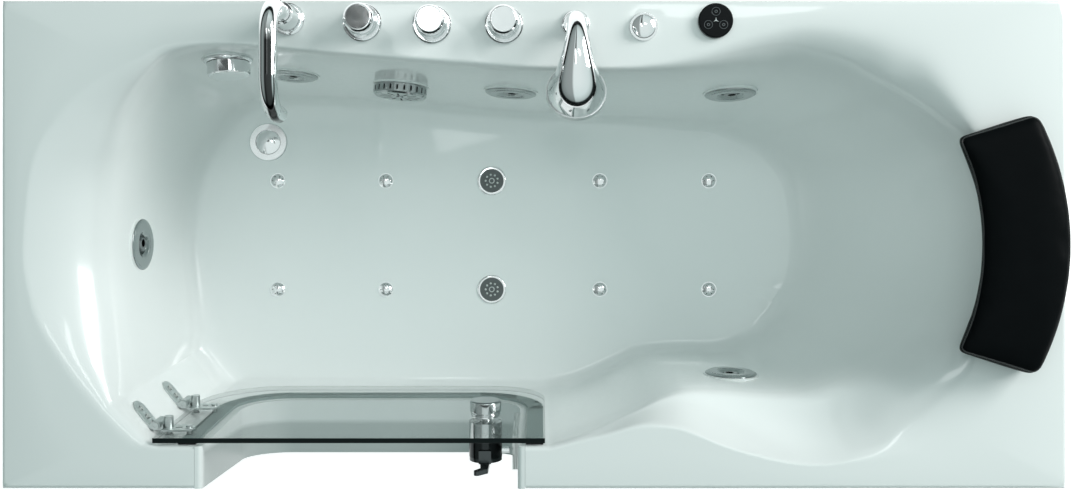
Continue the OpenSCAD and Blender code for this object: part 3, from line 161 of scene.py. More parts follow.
# Chrome sees the tent itself: almost white, greyer on the left, with a thin dark gap at the horizon.
tent_colour = colour_band(room_tree, way.outputs["Z"], [
    (0.0, (0.012, 0.016, 0.016)), (0.13, (0.014, 0.019, 0.019)), (0.19, (0.46, 0.55, 0.54)),
    (0.45, (0.74, 0.85, 0.84)), (1.0, (0.88, 0.96, 0.95)),
])
tent_glow = arithmetic(room_tree, "MULTIPLY", uncovered, slant("X", -0.55, -0.32, LEFT_GLOW, 1.0))
tent = background(tent_colour, tent_glow)
# The camera, also through the glass, sees plain white behind the object.
plain_white = room_tree.nodes.new("ShaderNodeBackground")
plain_white.inputs["Color"].default_value = (1, 1, 1, 1)
for_mirrors = mixed_shader(room_tree, seen_by(room_tree, "Is Glossy Ray"), dome, tent)
straight = seen_by(room_tree, "Is Camera Ray", "Is Transmission Ray")
for_camera = mixed_shader(room_tree, straight, for_mirrors, plain_white.outputs[0])
room_out = room_tree.nodes.new("ShaderNodeOutputWorld")
room_tree.links.new(for_camera, room_out.inputs["Surface"])
print("room nodes:", len(room_tree.nodes))


# %% Lamps
def soft_lamp(name, place, aim, size, power, tint):
    bpy.ops.object.light_add(type="AREA", location=place)
    lamp = bpy.context.object
    lamp.name = name
    lamp.data.shape = "RECTANGLE"
    lamp.data.size, lamp.data.size_y = size
    lamp.data.energy = power
    lamp.data.color = tint
    lamp.rotation_euler = (Vector(aim) - Vector(place)).to_track_quat("-Z", "Y").to_euler()


soft_lamp("key_lamp", (4.0, 2.0, 2.6), (-0.3, -0.1, 0.5), (2.6, 1.9), 203, (1.0, 1.0, 0.99))
soft_lamp("ceiling_lamp", (-0.43, 0.9, 3.2), (-0.2, 0.0, 0.4), (0.30, 0.95), 3, (0.97, 1.0, 1.0))
soft_lamp("crest_lamp", (0.72, 1.2, 3.2), (0.4, -0.2, 0.6), (0.72, 0.24), 2.9, (0.98, 1.0, 1.0))

# %% [markdown]
# The floor is pale and matte. The camera, the chrome and the glass see it as plain white, as in the
# picture, with a faint shadow where the tub keeps the light off it. Other rays meet an ordinary pale floor.

# %% Floor
bpy.ops.mesh.primitive_plane_add(size=14, location=(0, 0, -0.0005))
floor = bpy.context.object
floor.name = "studio_floor"
floor_paint = bpy.data.materials.new("studio_floor_paint")
floor_paint.use_nodes = True
floor_tree = floor_paint.node_tree
floor_tree.nodes.clear()
matte = floor_tree.nodes.new("ShaderNodeBsdfDiffuse")
matte.inputs["Color"].default_value = (0.80, 0.81, 0.81, 1)
bright = floor_tree.nodes.new("ShaderNodeEmission")
bright.inputs["Color"].default_value = (1, 1, 1, 1)
bright.inputs["Strength"].default_value = 0.82
shade_catcher = floor_tree.nodes.new("ShaderNodeBsdfDiffuse")
shade_catcher.inputs["Color"].default_value = (0.55, 0.55, 0.55, 1)
white_floor = floor_tree.nodes.new("ShaderNodeAddShader")
floor_tree.links.new(bright.outputs[0], white_floor.inputs[0])
floor_tree.links.new(shade_catcher.outputs[0], white_floor.inputs[1])
seen_directly = seen_by(floor_tree, "Is Camera Ray", "Is Transmission Ray", "Is Glossy Ray")
by_ray = mixed_shader(floor_tree, seen_directly, matte.outputs[0], white_floor.outputs[0])
floor_out = floor_tree.nodes.new("ShaderNodeOutputMaterial")
floor_tree.links.new(by_ray, floor_out.inputs["Surface"])
floor.data.materials.append(floor_paint)
print("floor at", round(floor.location.z, 4))

# %% [markdown]
# Every finish starts from the same shader and gets its own grain: a noise pattern over object coordinates,
# in sizes given in millimetres, that is sent to the roughness, the height or the colour. A fade runs from
# one colour to another between two heights or two places, and a later one may take an earlier one as its
# start.


# %% Helpers for finishes
def sockets_of(made):
    return made.node_tree.nodes["Principled BSDF"].inputs


def new_finish(name, colour, rough, metal=0.0, coat=0.0, specular=0.5, alpha=1.0):
    made = bpy.data.materials.new(name)
    made.use_nodes = True
    values = {
        "Base Color": (*colour, 1), "Roughness": rough, "Metallic": metal, "Alpha": alpha,
        "Specular IOR Level": specular, "Coat Weight": coat, "Coat Roughness": 0.04,
    }
    for socket, value in values.items():
        sockets_of(made)[socket].default_value = value
    return made


def grain(made, size_mm, detail=3.0, stretch=(1, 1, 1)):
    nodes, links = made.node_tree.nodes, made.node_tree.links
    place = nodes.new("ShaderNodeTexCoord")
    scaled = nodes.new("ShaderNodeMapping")
    scaled.inputs["Scale"].default_value = [1000.0 / size_mm * s for s in stretch]
    noise = nodes.new("ShaderNodeTexNoise")
    noise.inputs["Scale"].default_value = 1.0
    noise.inputs["Detail"].default_value = detail
    links.new(place.outputs["Object"], scaled.inputs["Vector"])
    links.new(scaled.outputs["Vector"], noise.inputs["Vector"])
    return noise.outputs["Fac"]


def spread(made, noise, low, high):
    fit = made.node_tree.nodes.new("ShaderNodeMapRange")
    fit.inputs["To Min"].default_value = low
    fit.inputs["To Max"].default_value = high
    made.node_tree.links.new(noise, fit.inputs["Value"])
    made.node_tree.links.new(fit.outputs["Result"], sockets_of(made)["Roughness"])


def tinge(made, share, one, two):
    # Each end is a plain colour or the output of another node.
    mix = made.node_tree.nodes.new("ShaderNodeMix")
    mix.data_type = "RGBA"
    made.node_tree.links.new(share, mix.inputs["Factor"])
    for end, colour in (("A", one), ("B", two)):
        if isinstance(colour, tuple):
            mix.inputs[end].default_value = (*colour, 1)
        else:
            made.node_tree.links.new(colour, mix.inputs[end])
    made.node_tree.links.new(mix.outputs["Result"], sockets_of(made)["Base Color"])
    return mix.outputs["Result"]


def along(made, axis, start, stop):
    nodes, links = made.node_tree.nodes, made.node_tree.links
    place = nodes.new("ShaderNodeTexCoord")
    parts = nodes.new("ShaderNodeSeparateXYZ")
    fit = nodes.new("ShaderNodeMapRange")
    fit.inputs["From Min"].default_value, fit.inputs["From Max"].default_value = start, stop
    links.new(place.outputs["Object"], parts.inputs[0])
    links.new(parts.outputs[axis], fit.inputs["Value"])
    return fit.outputs["Result"]


def fade(made, axis, start, stop, one, two):
    return tinge(made, along(made, axis, start, stop), one, two)


def relief(made, noise, height_mm, strength):
    bump = made.node_tree.nodes.new("ShaderNodeBump")
    bump.inputs["Distance"].default_value = height_mm / 1000.0
    bump.inputs["Strength"].default_value = strength
    made.node_tree.links.new(noise, bump.inputs["Height"])
    made.node_tree.links.new(bump.outputs["Normal"], sockets_of(made)["Normal"])


print("finish helpers ready")

# %% [markdown]
# Sheet acrylic is drawn over a mould, so its surface is a deep gloss with the faintest ripple. Its white is a
# little cool, and the coat on top gives the sharp reflection over the softer body colour. The deck is painted
# darker and the basin lighter: painted shade on the lit deck, painted light on the walls. The outer panels
# are a plainer sheet, painted darker as shade, and the faces of the doorway carry painted shade below the
# deck.

# %% Acrylic
# Painted shade: the deck white is darker than the basin's white, and the second colour is the doorway's
# painted shade below the deck.
DECK_WHITE, DOORWAY_SHADE = (0.785, 0.812, 0.806), (0.47, 0.505, 0.50)
acrylic = new_finish("bath_acrylic", (0.85, 0.875, 0.868), 0.22, coat=0.6)
# Painted light and shade: the basin's walls and floor are painted lighter, the lit deck darker.
fade(acrylic, "Z", 0.50, 0.597, (0.880, 0.905, 0.898), DECK_WHITE)
spread(acrylic, grain(acrylic, 9, 2.0), 0.18, 0.27)
relief(acrylic, grain(acrylic, 60, 1.0), 0.02, 0.25)
# Painted shade: below the deck the doorway's faces are grey outside the line of the glass and lighter inside
# it; at deck height they take the deck's white.
reveal_acrylic = new_finish("reveal_acrylic", (0.6, 0.62, 0.62), 0.24, coat=0.05, specular=0.2)
below_deck = fade(reveal_acrylic, "Y", -0.336, -0.326, DOORWAY_SHADE, (0.76, 0.79, 0.785))
fade(reveal_acrylic, "Z", 0.582, 0.598, below_deck, DECK_WHITE)
spread(reveal_acrylic, grain(reveal_acrylic, 9, 2.0), 0.2, 0.3)
# Painted shade: the outer panels are the same white acrylic, painted darker.
panel_acrylic = new_finish("panel_acrylic", (0.74, 0.765, 0.76), 0.26, coat=0.4)
spread(panel_acrylic, grain(panel_acrylic, 9, 2.0), 0.27, 0.29)
relief(panel_acrylic, grain(panel_acrylic, 60, 1.0), 0.02, 0.15)
print(acrylic.name, reveal_acrylic.name, panel_acrylic.name)

# %% [markdown]
# Chrome plate mirrors the room. A trace of uneven polish keeps it from looking like a computer mirror.
# Some fittings also carry painted reflections and painted shade in their colour.

# %% Metals
chrome = new_finish("polished_chrome", (0.80, 0.815, 0.82), 0.07, metal=1.0)
spread(chrome, grain(chrome, 14, 2.0), 0.045, 0.11)
tinge(chrome, grain(chrome, 35, 1.0), (0.77, 0.79, 0.795), (0.83, 0.845, 0.85))
dark_chrome = new_finish("dark_chrome", (0.20, 0.215, 0.22), 0.16, metal=1.0)
spread(dark_chrome, grain(dark_chrome, 10, 2.0), 0.10, 0.22)
latch_metal = new_finish("latch_metal", (0.3, 0.3, 0.3), 0.14, metal=1.0)
# Painted shade: the housing is near black outside the glass and a lighter chrome inside it.
fade(latch_metal, "Y", -0.338, -0.333, (0.030, 0.034, 0.035), (0.50, 0.53, 0.53))
spread(latch_metal, grain(latch_metal, 10, 2.0), 0.09, 0.20)
knob_chrome = new_finish("latch_knob_chrome", (0.8, 0.8, 0.8), 0.07, metal=1.0)
# Painted reflection: the chrome knob's side is painted paler and its end face a dim grey.
fade(knob_chrome, "Y", -0.2720, -0.2700, (0.62, 0.65, 0.65), (0.26, 0.29, 0.29))
spread(knob_chrome, grain(knob_chrome, 14, 2.0), 0.045, 0.11)
lever_metal = new_finish("lever_metal", (0.07, 0.078, 0.08), 0.18, metal=1.0)
spread(lever_metal, grain(lever_metal, 10, 2.0), 0.12, 0.24)
shower_chrome = new_finish("shower_chrome", (0.8, 0.81, 0.81), 0.07, metal=1.0)
# Painted reflection: a dark band runs along the handset, grey at its sides; the near end stays clean chrome.
painted_reflection_stops = ((0.36, 0.62), (0.42, 0.035), (0.76, 0.05), (0.82, 0.80))
painted_reflection = colour_band(shower_chrome.node_tree, along(shower_chrome, "X", -0.406, -0.378), [
    (0.0, (0.62, 0.65, 0.65)), *((at, (grey, grey * 1.05, grey * 1.05)) for at, grey in painted_reflection_stops),
    (1.0, (0.80, 0.82, 0.82)),
])
fade(shower_chrome, "Y", 0.335, 0.30, (0.80, 0.82, 0.82), painted_reflection)
spread(shower_chrome, grain(shower_chrome, 14, 2.0), 0.045, 0.11)
# Painted reflection: the rings of the wall ports and the suction cap are chrome painted darker, for the dark
# horizon they mirror.
port_chrome = new_finish("port_chrome", (0.40, 0.43, 0.43), 0.14, metal=1.0)
spread(port_chrome, grain(port_chrome, 8, 2.0), 0.09, 0.20)
hinge_metal = new_finish("cast_hinge_metal", (0.52, 0.56, 0.555), 0.30, metal=1.0)
tinge(hinge_metal, grain(hinge_metal, 2.5, 3.0), (0.44, 0.48, 0.475), (0.60, 0.64, 0.635))
spread(hinge_metal, grain(hinge_metal, 6, 3.0), 0.26, 0.44)
satin = new_finish("satin_steel", (0.62, 0.64, 0.64), 0.3, metal=1.0)
spread(satin, grain(satin, 1.2, 2.0, (1, 1, 12)), 0.24, 0.40)
ribbed = new_finish("ribbed_aluminium", (0.56, 0.58, 0.58), 0.35, metal=1.0)
spread(ribbed, grain(ribbed, 0.8, 2.0, (1, 1, 0.05)), 0.28, 0.48)
# Painted shade and highlight: dark and bright stripes across the strip draw the light on its ribs.
tinge(ribbed, grain(ribbed, 1.6, 0.0, (1, 0.04, 0.04)), (0.12, 0.14, 0.14), (0.90, 0.93, 0.92))
zinc = new_finish("zinc_plate", (0.60, 0.61, 0.60), 0.35, metal=1.0)
tinge(zinc, grain(zinc, 3, 3.0), (0.52, 0.54, 0.55), (0.68, 0.68, 0.64))
brass = new_finish("cast_brass", (0.60, 0.44, 0.20), 0.4, metal=1.0)
tinge(brass, grain(brass, 4, 4.0), (0.50, 0.36, 0.16), (0.68, 0.52, 0.26))
relief(brass, grain(brass, 0.8, 3.0), 0.1, 0.5)
galvanised = new_finish("galvanised_tube", (0.42, 0.43, 0.44), 0.45, metal=0.8)
tinge(galvanised, grain(galvanised, 12, 4.0), (0.34, 0.36, 0.37), (0.52, 0.53, 0.53))
print("metals made")

# %% [markdown]
# Plastics and rubber are matte to half gloss, each with the grain its mould leaves.

# %% Plastics, rubber, board
rubber = new_finish("foot_rubber", (0.016, 0.018, 0.018), 0.55)
relief(rubber, grain(rubber, 0.7, 3.0), 0.05, 0.6)
spread(rubber, grain(rubber, 5, 3.0), 0.45, 0.65)
seal_rubber = new_finish("seal_rubber", (0.16, 0.20, 0.195), 0.5, specular=0.15)
# Painted light: below its near-black top end the seal is painted a lighter teal-grey, where it is seen
# through the glass.
fade(seal_rubber, "Z", 0.572, 0.580, (0.24, 0.30, 0.29), (0.010, 0.012, 0.012))
relief(seal_rubber, grain(seal_rubber, 0.7, 3.0), 0.05, 0.6)
spread(seal_rubber, grain(seal_rubber, 5, 3.0), 0.42, 0.6)
black_plastic = new_finish("pad_plastic", (0.004, 0.005, 0.006), 0.24, specular=0.08)
spread(black_plastic, grain(black_plastic, 6, 2.0), 0.18, 0.32)
face_grey = new_finish("bubbler_plastic", (0.10, 0.115, 0.115), 0.35)
spread(face_grey, grain(face_grey, 2, 3.0), 0.28, 0.45)
white_pipe = new_finish("pipe_plastic_white", (0.72, 0.72, 0.70), 0.4)
tinge(white_pipe, grain(white_pipe, 25, 3.0), (0.66, 0.66, 0.64), (0.77, 0.77, 0.75))
grey_pipe = new_finish("pipe_plastic_grey", (0.22, 0.23, 0.24), 0.45)
tinge(grey_pipe, grain(grey_pipe, 20, 3.0), (0.18, 0.19, 0.20), (0.26, 0.27, 0.28))
motor_paint = new_finish("motor_paint", (0.03, 0.032, 0.034), 0.4)
relief(motor_paint, grain(motor_paint, 1.5, 3.0), 0.1, 0.5)
box_plastic = new_finish("box_plastic", (0.62, 0.62, 0.60), 0.5)
relief(box_plastic, grain(box_plastic, 0.6, 3.0), 0.05, 0.6)
board = new_finish("sealed_board", (0.45, 0.31, 0.18), 0.6)
tinge(board, grain(board, 8, 5.0, (0.12, 1, 1)), (0.36, 0.24, 0.13), (0.55, 0.40, 0.25))
print("plastics made")

# %% [markdown]
# The door is toughened float glass. Looked through squarely it is a faint grey-green veil, and its polished
# edge is dark because light runs along the inside of the pane.

# %% Door glass
glass = new_finish("door_float_glass", (0.20, 0.27, 0.255), 0.03, alpha=0.12)
spread(glass, grain(glass, 40, 1.0), 0.02, 0.05)
print(glass.name)

# %% Finishes onto the frame's own pieces
worn_by = {
    acrylic: ["doorway_reveal"],
    panel_acrylic: ["front_apron", "end_panels"],
    galvanised: ["long_rails", "end_rails", "joists", "posts"],
    zinc: ["foot_studs", "screws"],
    rubber: ["foot_pads"],
    seal_rubber: ["door_seal"],
    board: ["floor_board"],
    glass: ["door_glass"],
    chrome: [
        "hinge_wall_leaves", "hinge_glass_leaves", "hinge_clamps", "latch_housing", "latch_rose",
        "latch_knob", "latch_bolt", "deck_rings", "hot_knob", "cold_knob", "diverter_knob", "bath_spout",
        "shower_holder", "air_button", "drain_flange", "drain_plug", "overflow_flange", "overflow_dial",
        "jet_rings", "suction_cap", "air_jets", "bubbler_rings",
    ],
    dark_chrome: [
        "latch_lever", "jet_nozzle_rear_right", "jet_nozzle_rear_mid", "jet_nozzle_rear_left",
        "jet_nozzle_foot", "jet_nozzle_front",
    ],
    shower_chrome: ["shower_handset"],
    ribbed: ["strike_strip"],
    satin: ["spout_outlet"],
    black_plastic: ["touch_pad", "lock_nuts", "shower_face", "pillow", "pillow_pegs"],
    face_grey: ["bubbler_faces"],
    brass: ["valve_bodies"],
    grey_pipe: ["waste_pipe", "jet_bodies"],
    white_pipe: ["water_pipes", "suction_pipe", "air_pipes"],
    motor_paint: ["circulation_pump", "air_blower"],
    box_plastic: ["control_box"],
}
for finish, names in worn_by.items():
    for name in names:
        piece = node[name]
        if not piece.material_slots:
            piece.data.materials.append(finish)
        for held in piece.material_slots:
            held.link = "OBJECT"
            held.material = finish
print("dressed:", sum(len(n) for n in worn_by.values()), "of", len(node))

# %% [markdown]
# The solid shell carries about a hundred stations round the basin, which is enough for contact but shows as
# facets in gloss. Here the same table of stations is drawn again with a spline through it and many more
# points, so the light runs along the walls without a break. Each row is the deck edge, the shoulder and its
# depth, the foot of the wall, the start of the flat floor, and how much of a sloping ledge there is.

# %% Stations round the basin, in millimetres
RIM, BASIN, WALL, LIP = 600.0, 440.0, 392.0, 45.0
HALF_L, HALF_W, SKIN = 850.0, 390.0, 6.0
LEAN = math.tan(math.radians(5.5))
SEAL_Y, HINGE = -HALF_W + 68, (-617.0, 23.0)
LEAF, LEAF_OUT = (-0.6098, 0.7927), (-0.7927, -0.6098)
HOLE = (-542.0, -14.0)
BEAD, BEAD_OUT, TOE, LEAF_GAP = 10, 8, 25, 10
WALL_Y = SEAL_Y + LEAN * WALL


def on_front(x, foot_x):
    return (x, SEAL_Y - BEAD_OUT, x, SEAL_Y + LEAN * BEAD, BEAD, x, WALL_Y, foot_x, WALL_Y + TOE, 0)


def on_diagonal(t, out, depth, fx, fy):
    cx = HINGE[0] + LEAF_GAP * LEAF_OUT[0] + t * LEAF[0]
    cy = HINGE[1] + LEAF_GAP * LEAF_OUT[1] + t * LEAF[1]
    sy = cy + SEAL_Y + LEAN * depth
    if out is None:
        out = (sy * HALF_L - cx * HALF_W) / (LEAF_OUT[0] * HALF_W - LEAF_OUT[1] * HALF_L)
    foot_y = cy + SEAL_Y + LEAN * WALL
    return (cx + out * LEAF_OUT[0], sy + out * LEAF_OUT[1], cx, sy, depth, cx, foot_y, fx, fy, 0)


table = [
    (743, 0, 722, 0, 40, 548, 0, 497, 0, 0.2), (734, 92, 713, 88, 42, 543, 78, 493, 68, 0.2),
    (705, 178, 680, 160, 48, 527, 144, 478, 124, 0.3),
    (628, 288.141, 610, 216, 56, 486, 198, 440, 172, 0.5),
    (571, 316, 552, 243, 62, 442, 223, 398, 196, 0.6), (517, 333, 500, 268, 68, 404, 236, 362, 211, 0.6),
    (430, 343, 420, 286, 70, 380, 243, 350, 219, 0.6), (345, 328, 345, 284, 60, 345, 246, 325, 222, 0.5),
    (250, 301, 250, 279, 34, 250, 248, 248, 226, 0.2), (161, 287, 161, 276, 22, 161, 250, 161, 230, 0),
    (50, 286, 50, 276, 20, 50, 255, 50, 235, 0), (-42, 290, -42, 280, 20, -42, 260, -42, 240, 0),
    (-140, 296, -140, 287, 20, -140, 269, -140, 247, 0),
    (-240, 304, -240, 295, 20, -240, 278, -240, 254, 0),
    (-340, 312, -340, 303, 20, -340, 284, -340, 259, 0),
    (-427, 320, -427, 311, 20, -427, 289, -422, 263, 0),
    (-509, 325, -509, 314, 22, -509, 288, -495, 260, 0),
    (-590, 318, -580, 301, 32, -567, 272, -548, 244, 0),
    (-640, 293.647, -616, 270, 46, -600, 240, -578, 213, 0),
    (-705, 255, -654, 220, 62, -636, 194, -604, 170, 0.2),
    (-753, 207, -679, 163, 75, -660, 143, -622, 126, 0.4),
    (-797, 131, -697, 88, 86, -675, 78, -633, 68, 0.5), (-813, 0, -702, 0, 90, -680, 0, -637, 0, 0.5),
    (-806, -68, -698, -62, 88, -676, -56, -633, -50, 0.5),
    (-786, -129, -689, -120, 82, -670, -104, -627, -90, 0.5),
    (-741, -200, -676, -188, 70, -664, -160, -620, -140, 0.4), on_diagonal(67, 36, 60, -614, -180),
    on_diagonal(55, 35, 50, -610, -190), on_diagonal(22, None, 30, -598, -211),
    on_diagonal(0, 27, 22, -588, -226), on_diagonal(-12, 20, 16, -580, -234),
    on_front(HINGE[0] + 17, HINGE[0] + 48), on_front(HINGE[0] + 32, HINGE[0] + 66),
    on_front(HOLE[0] + 10, HOLE[0] + 30), on_front(HOLE[0] + 140, HOLE[0] + 144),
    on_front(HOLE[0] + 264, HOLE[0] + 264), on_front(HOLE[0] + 390, HOLE[0] + 388),
    on_front(HOLE[1] - 16, HOLE[1] - 20), on_front(HOLE[1] + 25.6, HOLE[1] + 19.6),
    on_front(HOLE[1] + 39.6, HOLE[1] + 31.6), (68, -317, 72, -306, 22, 72, -275, 62, -250, 0),
    (110, -304, 116, -291, 32, 112, -261, 102, -237, 0.1),
    (161, -289, 168, -270, 45, 160, -238, 150, -214, 0.3),
    (200, -287, 212, -250, 56, 203, -218, 198, -194, 0.5),
    (240, -294, 252, -239, 64, 250, -211, 246, -188, 0.6),
    (300, -319, 302, -240, 68, 302, -210, 298, -186, 0.6),
    (346, -334, 346, -243, 70, 346, -211, 336, -186, 0.6),
    (407, -348, 400, -246, 70, 385, -206, 364, -181, 0.6),
    (461, -351, 445, -243, 69, 412, -197, 388, -172, 0.6),
    (517, -341.5, 492, -229, 66, 438, -186, 408, -161, 0.6),
    (571, -324, 540, -206, 62, 466, -170, 430, -146, 0.6),
    (628, -288.141, 596, -174, 56, 497, -146, 455, -122, 0.8),
    (689, -216, 658, -130, 50, 524, -108, 477, -92, 0.8),
    (728, -115, 706, -76, 43, 542, -62, 491, -54, 0.4),
]
print("stations:", len(table))

# %% Finer stations and the profile of the wall
# From these rows to the next, beside the hinge and along the door, the wall runs straight.
STRAIGHT_ROWS = {*range(26, 30), *range(31, 39)}
FINE, ROLL_STEPS, WALL_STEPS, FOOT_STEPS = 6, 16, 10, 12


def between(i, t):
    a, b, c, d = (table[(i + k) % len(table)] for k in (-1, 0, 1, 2))
    if i in STRAIGHT_ROWS:
        return tuple(p + (q - p) * t for p, q in zip(b, c))
    return tuple(
        0.5 * (2 * q + (r - p) * t + (2 * p - 5 * q + 4 * r - s) * t * t + (3 * q - p - 3 * r + s) * t**3)
        for p, q, r, s in zip(a, b, c, d)
    )


def step(x, start, stop):
    t = min(1.0, max(0.0, (x - start) / (stop - start)))
    return t * t * (3 - 2 * t)


def armrest(s):
    # The front rim from the door to the head carries a dished armrest with a crisp inner edge.
    return step(s[0], 60, 150) * (1 - step(s[0], 500, 690)) if s[1] < 0 else 0.0


def rounds_for(s):
    # A sloping ledge is smoothed most, but not the broad roll on the left, and the armrest keeps its edge.
    plain = 2 + (60 if s[0] > -650 else 6) * s[9]
    return round(plain + (3 - plain) * armrest(s))


def curve(p, c, q, t):
    return p * (1 - t) ** 2 + c * 2 * t * (1 - t) + q * t * t


def wall_profile(s):
    edge, shoulder = Vector((s[0], s[1], 0)), Vector((s[2], s[3], s[4]))
    foot, flat = Vector((s[5], s[6], WALL)), Vector((s[7], s[8], BASIN))
    high = (shoulder + (shoulder - foot) * s[4] / (WALL - s[4])).lerp((edge + shoulder) / 2, s[9])
    low = foot + (foot - shoulder) * (BASIN - WALL) / (WALL - s[4])
    points = []
    for t in range(ROLL_STEPS):
        u = t / ROLL_STEPS
        dish = edge.lerp(shoulder, u)
        dish.z = shoulder.z * (1 - (1 - u) ** 1.6)
        points.append(curve(edge, high, shoulder, u).lerp(dish, armrest(s)))
    points += [shoulder.lerp(foot, t / WALL_STEPS) for t in range(WALL_STEPS)]
    points += [curve(foot, low, flat, t / FOOT_STEPS) for t in range(FOOT_STEPS + 1)]
    return points


def outward(s, inset):
    k = min((HALF_L - inset) / max(abs(s[0]), 1e-6), (HALF_W - inset) / max(abs(s[1]), 1e-6))
    return Vector((s[0] * k, s[1] * k, 0))


def soften(points, rounds):
    for _ in range(rounds):
        middle = [points[k] * 0.5 + (points[k - 1] + points[k + 1]) * 0.25 for k in range(1, len(points) - 1)]
        points = [points[0], *middle, points[-1]]
    return points


fine_stations = [between(i, k / FINE) for i in range(len(table)) for k in range(FINE)]
print("finer stations:", len(fine_stations))

# %% Points down each station
# They run from the lip over the deck and down the wall to the middle of the floor.
LIP_ROUND = 7
DECK_STEPS = (64, 48, 36, 26, 18, 12, 7, 3)
MIDDLE = Vector((-80, 10, BASIN))
lip_turns = [math.pi / 2 * k / 5 for k in range(5, -1, -1)]
columns = []
for s in fine_stations:
    edge, rim = Vector((s[0], s[1], 0)), outward(s, LIP_ROUND)
    reach = (rim - edge).length
    shrink = min(1.0, 0.45 * reach / DECK_STEPS[0]) / reach
    deck = [edge + (rim - edge) * d * shrink for d in DECK_STEPS]
    inner = soften(deck + wall_profile(s), rounds_for(s))
    floor_part = [inner[-1].lerp(MIDDLE, t) for t in (0.12, 0.3, 0.55, 0.8)]
    lip = [
        outward(s, LIP_ROUND * (1 - math.sin(a))) + Vector((0, 0, LIP_ROUND * (1 - math.cos(a))))
        for a in lip_turns
    ]
    columns.append([outward(s, 0) + Vector((0, 0, LIP)), *lip, *inner, *floor_part])
print("points on a station:", len(columns[0]))

# %% Skin of the shell
shell_mesh = bpy.data.meshes.new("bath_shell")
bm = bmesh.new()
grid = [[bm.verts.new((p.x / 1000, p.y / 1000, (RIM - p.z) / 1000)) for p in c] for c in columns]
centre = bm.verts.new((MIDDLE.x / 1000, MIDDLE.y / 1000, (RIM - BASIN) / 1000))
for k in range(len(grid)):
    one, two = grid[k], grid[(k + 1) % len(grid)]
    for r in range(len(one) - 1):
        bm.faces.new((one[r], two[r], two[r + 1], one[r + 1]))
    bm.faces.new((one[-1], two[-1], centre))
bmesh.ops.recalc_face_normals(bm, faces=bm.faces)
bm.to_mesh(shell_mesh)
bm.free()
bath_shell = bpy.data.objects.new("bath_shell", shell_mesh)
bpy.context.collection.objects.link(bath_shell)
floor_face = min(shell_mesh.polygons, key=lambda f: abs(f.center.x + 0.08) + abs(f.center.y - 0.01))
print("faces:", len(shell_mesh.polygons), "floor looks up:", floor_face.normal.z > 0)

# %% [markdown]
# The thickness comes from a modifier, and the openings are cut the way a fitter cuts them: with a hole saw
# square to the wall for each jet, straight down for the taps and the drains, and one big saddle for the
# door. Behind each wall fitting the mould has a flat round land, so that a flat flange can seat on a curved
# wall.

# %% Cutters
def clean_select(*pieces):
    bpy.ops.object.select_all(action="DESELECT")
    for piece in pieces:
        piece.select_set(True)
    bpy.context.view_layer.objects.active = pieces[0]


def apply_all(piece):
    clean_select(piece)
    for m in list(piece.modifiers):
        bpy.ops.object.modifier_apply(modifier=m.name)


def round_bar(bm, place, normal, radius, low, high, sides=64):
    spin = Vector((0, 0, 1)).rotation_difference(Vector(normal).normalized()).to_matrix().to_4x4()
    at = Matrix.Translation(Vector(place) / 1000) @ spin @ Matrix.Translation((0, 0, (low + high) / 2000))
    bmesh.ops.create_cone(
        bm, cap_ends=True, segments=sides, radius1=radius / 1000, radius2=radius / 1000,
        depth=(high - low) / 1000, matrix=at,
    )


def as_object(name, bm):
    mesh = bpy.data.meshes.new(name)
    bm.to_mesh(mesh)
    bm.free()
    made = bpy.data.objects.new(name, mesh)
    bpy.context.collection.objects.link(made)
    return made


def carve(piece, tool, how):
    cut = piece.modifiers.new("carve", "BOOLEAN")
    cut.operation, cut.solver, cut.object = how, "EXACT", tool
    apply_all(piece)
    bpy.data.objects.remove(tool)


thick = bath_shell.modifiers.new("thickness", "SOLIDIFY")
thick.thickness, thick.offset = SKIN / 1000, -1
thick.use_even_offset, thick.thickness_clamp = True, 1.0
apply_all(bath_shell)
print("shell faces with both sides:", len(bath_shell.data.polygons))

# %% Lands and holes
# A wall port is its place, the way it faces, the radius of its land and the radius of its bore.
DECK_MID, FLOOR_MID = RIM - SKIN / 2, RIM - BASIN - SKIN / 2
STRAIGHT_UP, CUT, WALL_CUT, LAND_DEPTH, LAND_PROUD = (0, 0, 1), 15, 30, 9, 3
BUBBLER_X, JET_COLUMNS, FLOOR_ROWS = -85, (-505, -293, 127, 341), (125, -88)
WASTE_XY, WASTE_BORE, AIR_JET_BORE, BUBBLER_BORE = (-524, 201), 30, 9, 21
wall_ports = {
    "rear_right": ((345, 267.976, 400), (0.0259126, -0.99318, 0.113677), 48, 27),
    "rear_mid": ((-42, 270.323, 400), (-0.0653006, -0.996427, 0.0535713), 48, 27),
    "rear_left": ((-427, 300.355, 400), (-0.04535, -0.997229, 0.0589759), 48, 27),
    "foot": ((-693.987, 0, 400), (0.997329, -0.00755152, 0.0726531), 48, 27),
    "front": ((346, -230.081, 400), (0.0224318, 0.994848, 0.0988669), 48, 27),
    "suction": ((-239.2, 285.86, 365), (-0.0768, -0.996, 0.0455), 50, 30),
    "overflow": ((-509, 309.924, 520), (0.0678877, -0.995239, 0.0699357), 43, 24),
}
lands = bmesh.new()
for place, normal, land, bore in wall_ports.values():
    round_bar(lands, place, normal, land, -LAND_DEPTH, LAND_PROUD, 96)
carve(bath_shell, as_object("land_blanks", lands), "UNION")
holes = bmesh.new()
for place, normal, land, bore in wall_ports.values():
    round_bar(holes, place, normal, bore, -WALL_CUT, WALL_CUT)
round_bar(holes, (*WASTE_XY, FLOOR_MID), STRAIGHT_UP, WASTE_BORE, -CUT, CUT)
for x in JET_COLUMNS:
    for y in FLOOR_ROWS:
        round_bar(holes, (x, y, FLOOR_MID), STRAIGHT_UP, AIR_JET_BORE, -CUT, CUT, 32)
for y in FLOOR_ROWS:
    round_bar(holes, (BUBBLER_X, y, FLOOR_MID), STRAIGHT_UP, BUBBLER_BORE, -CUT, CUT)
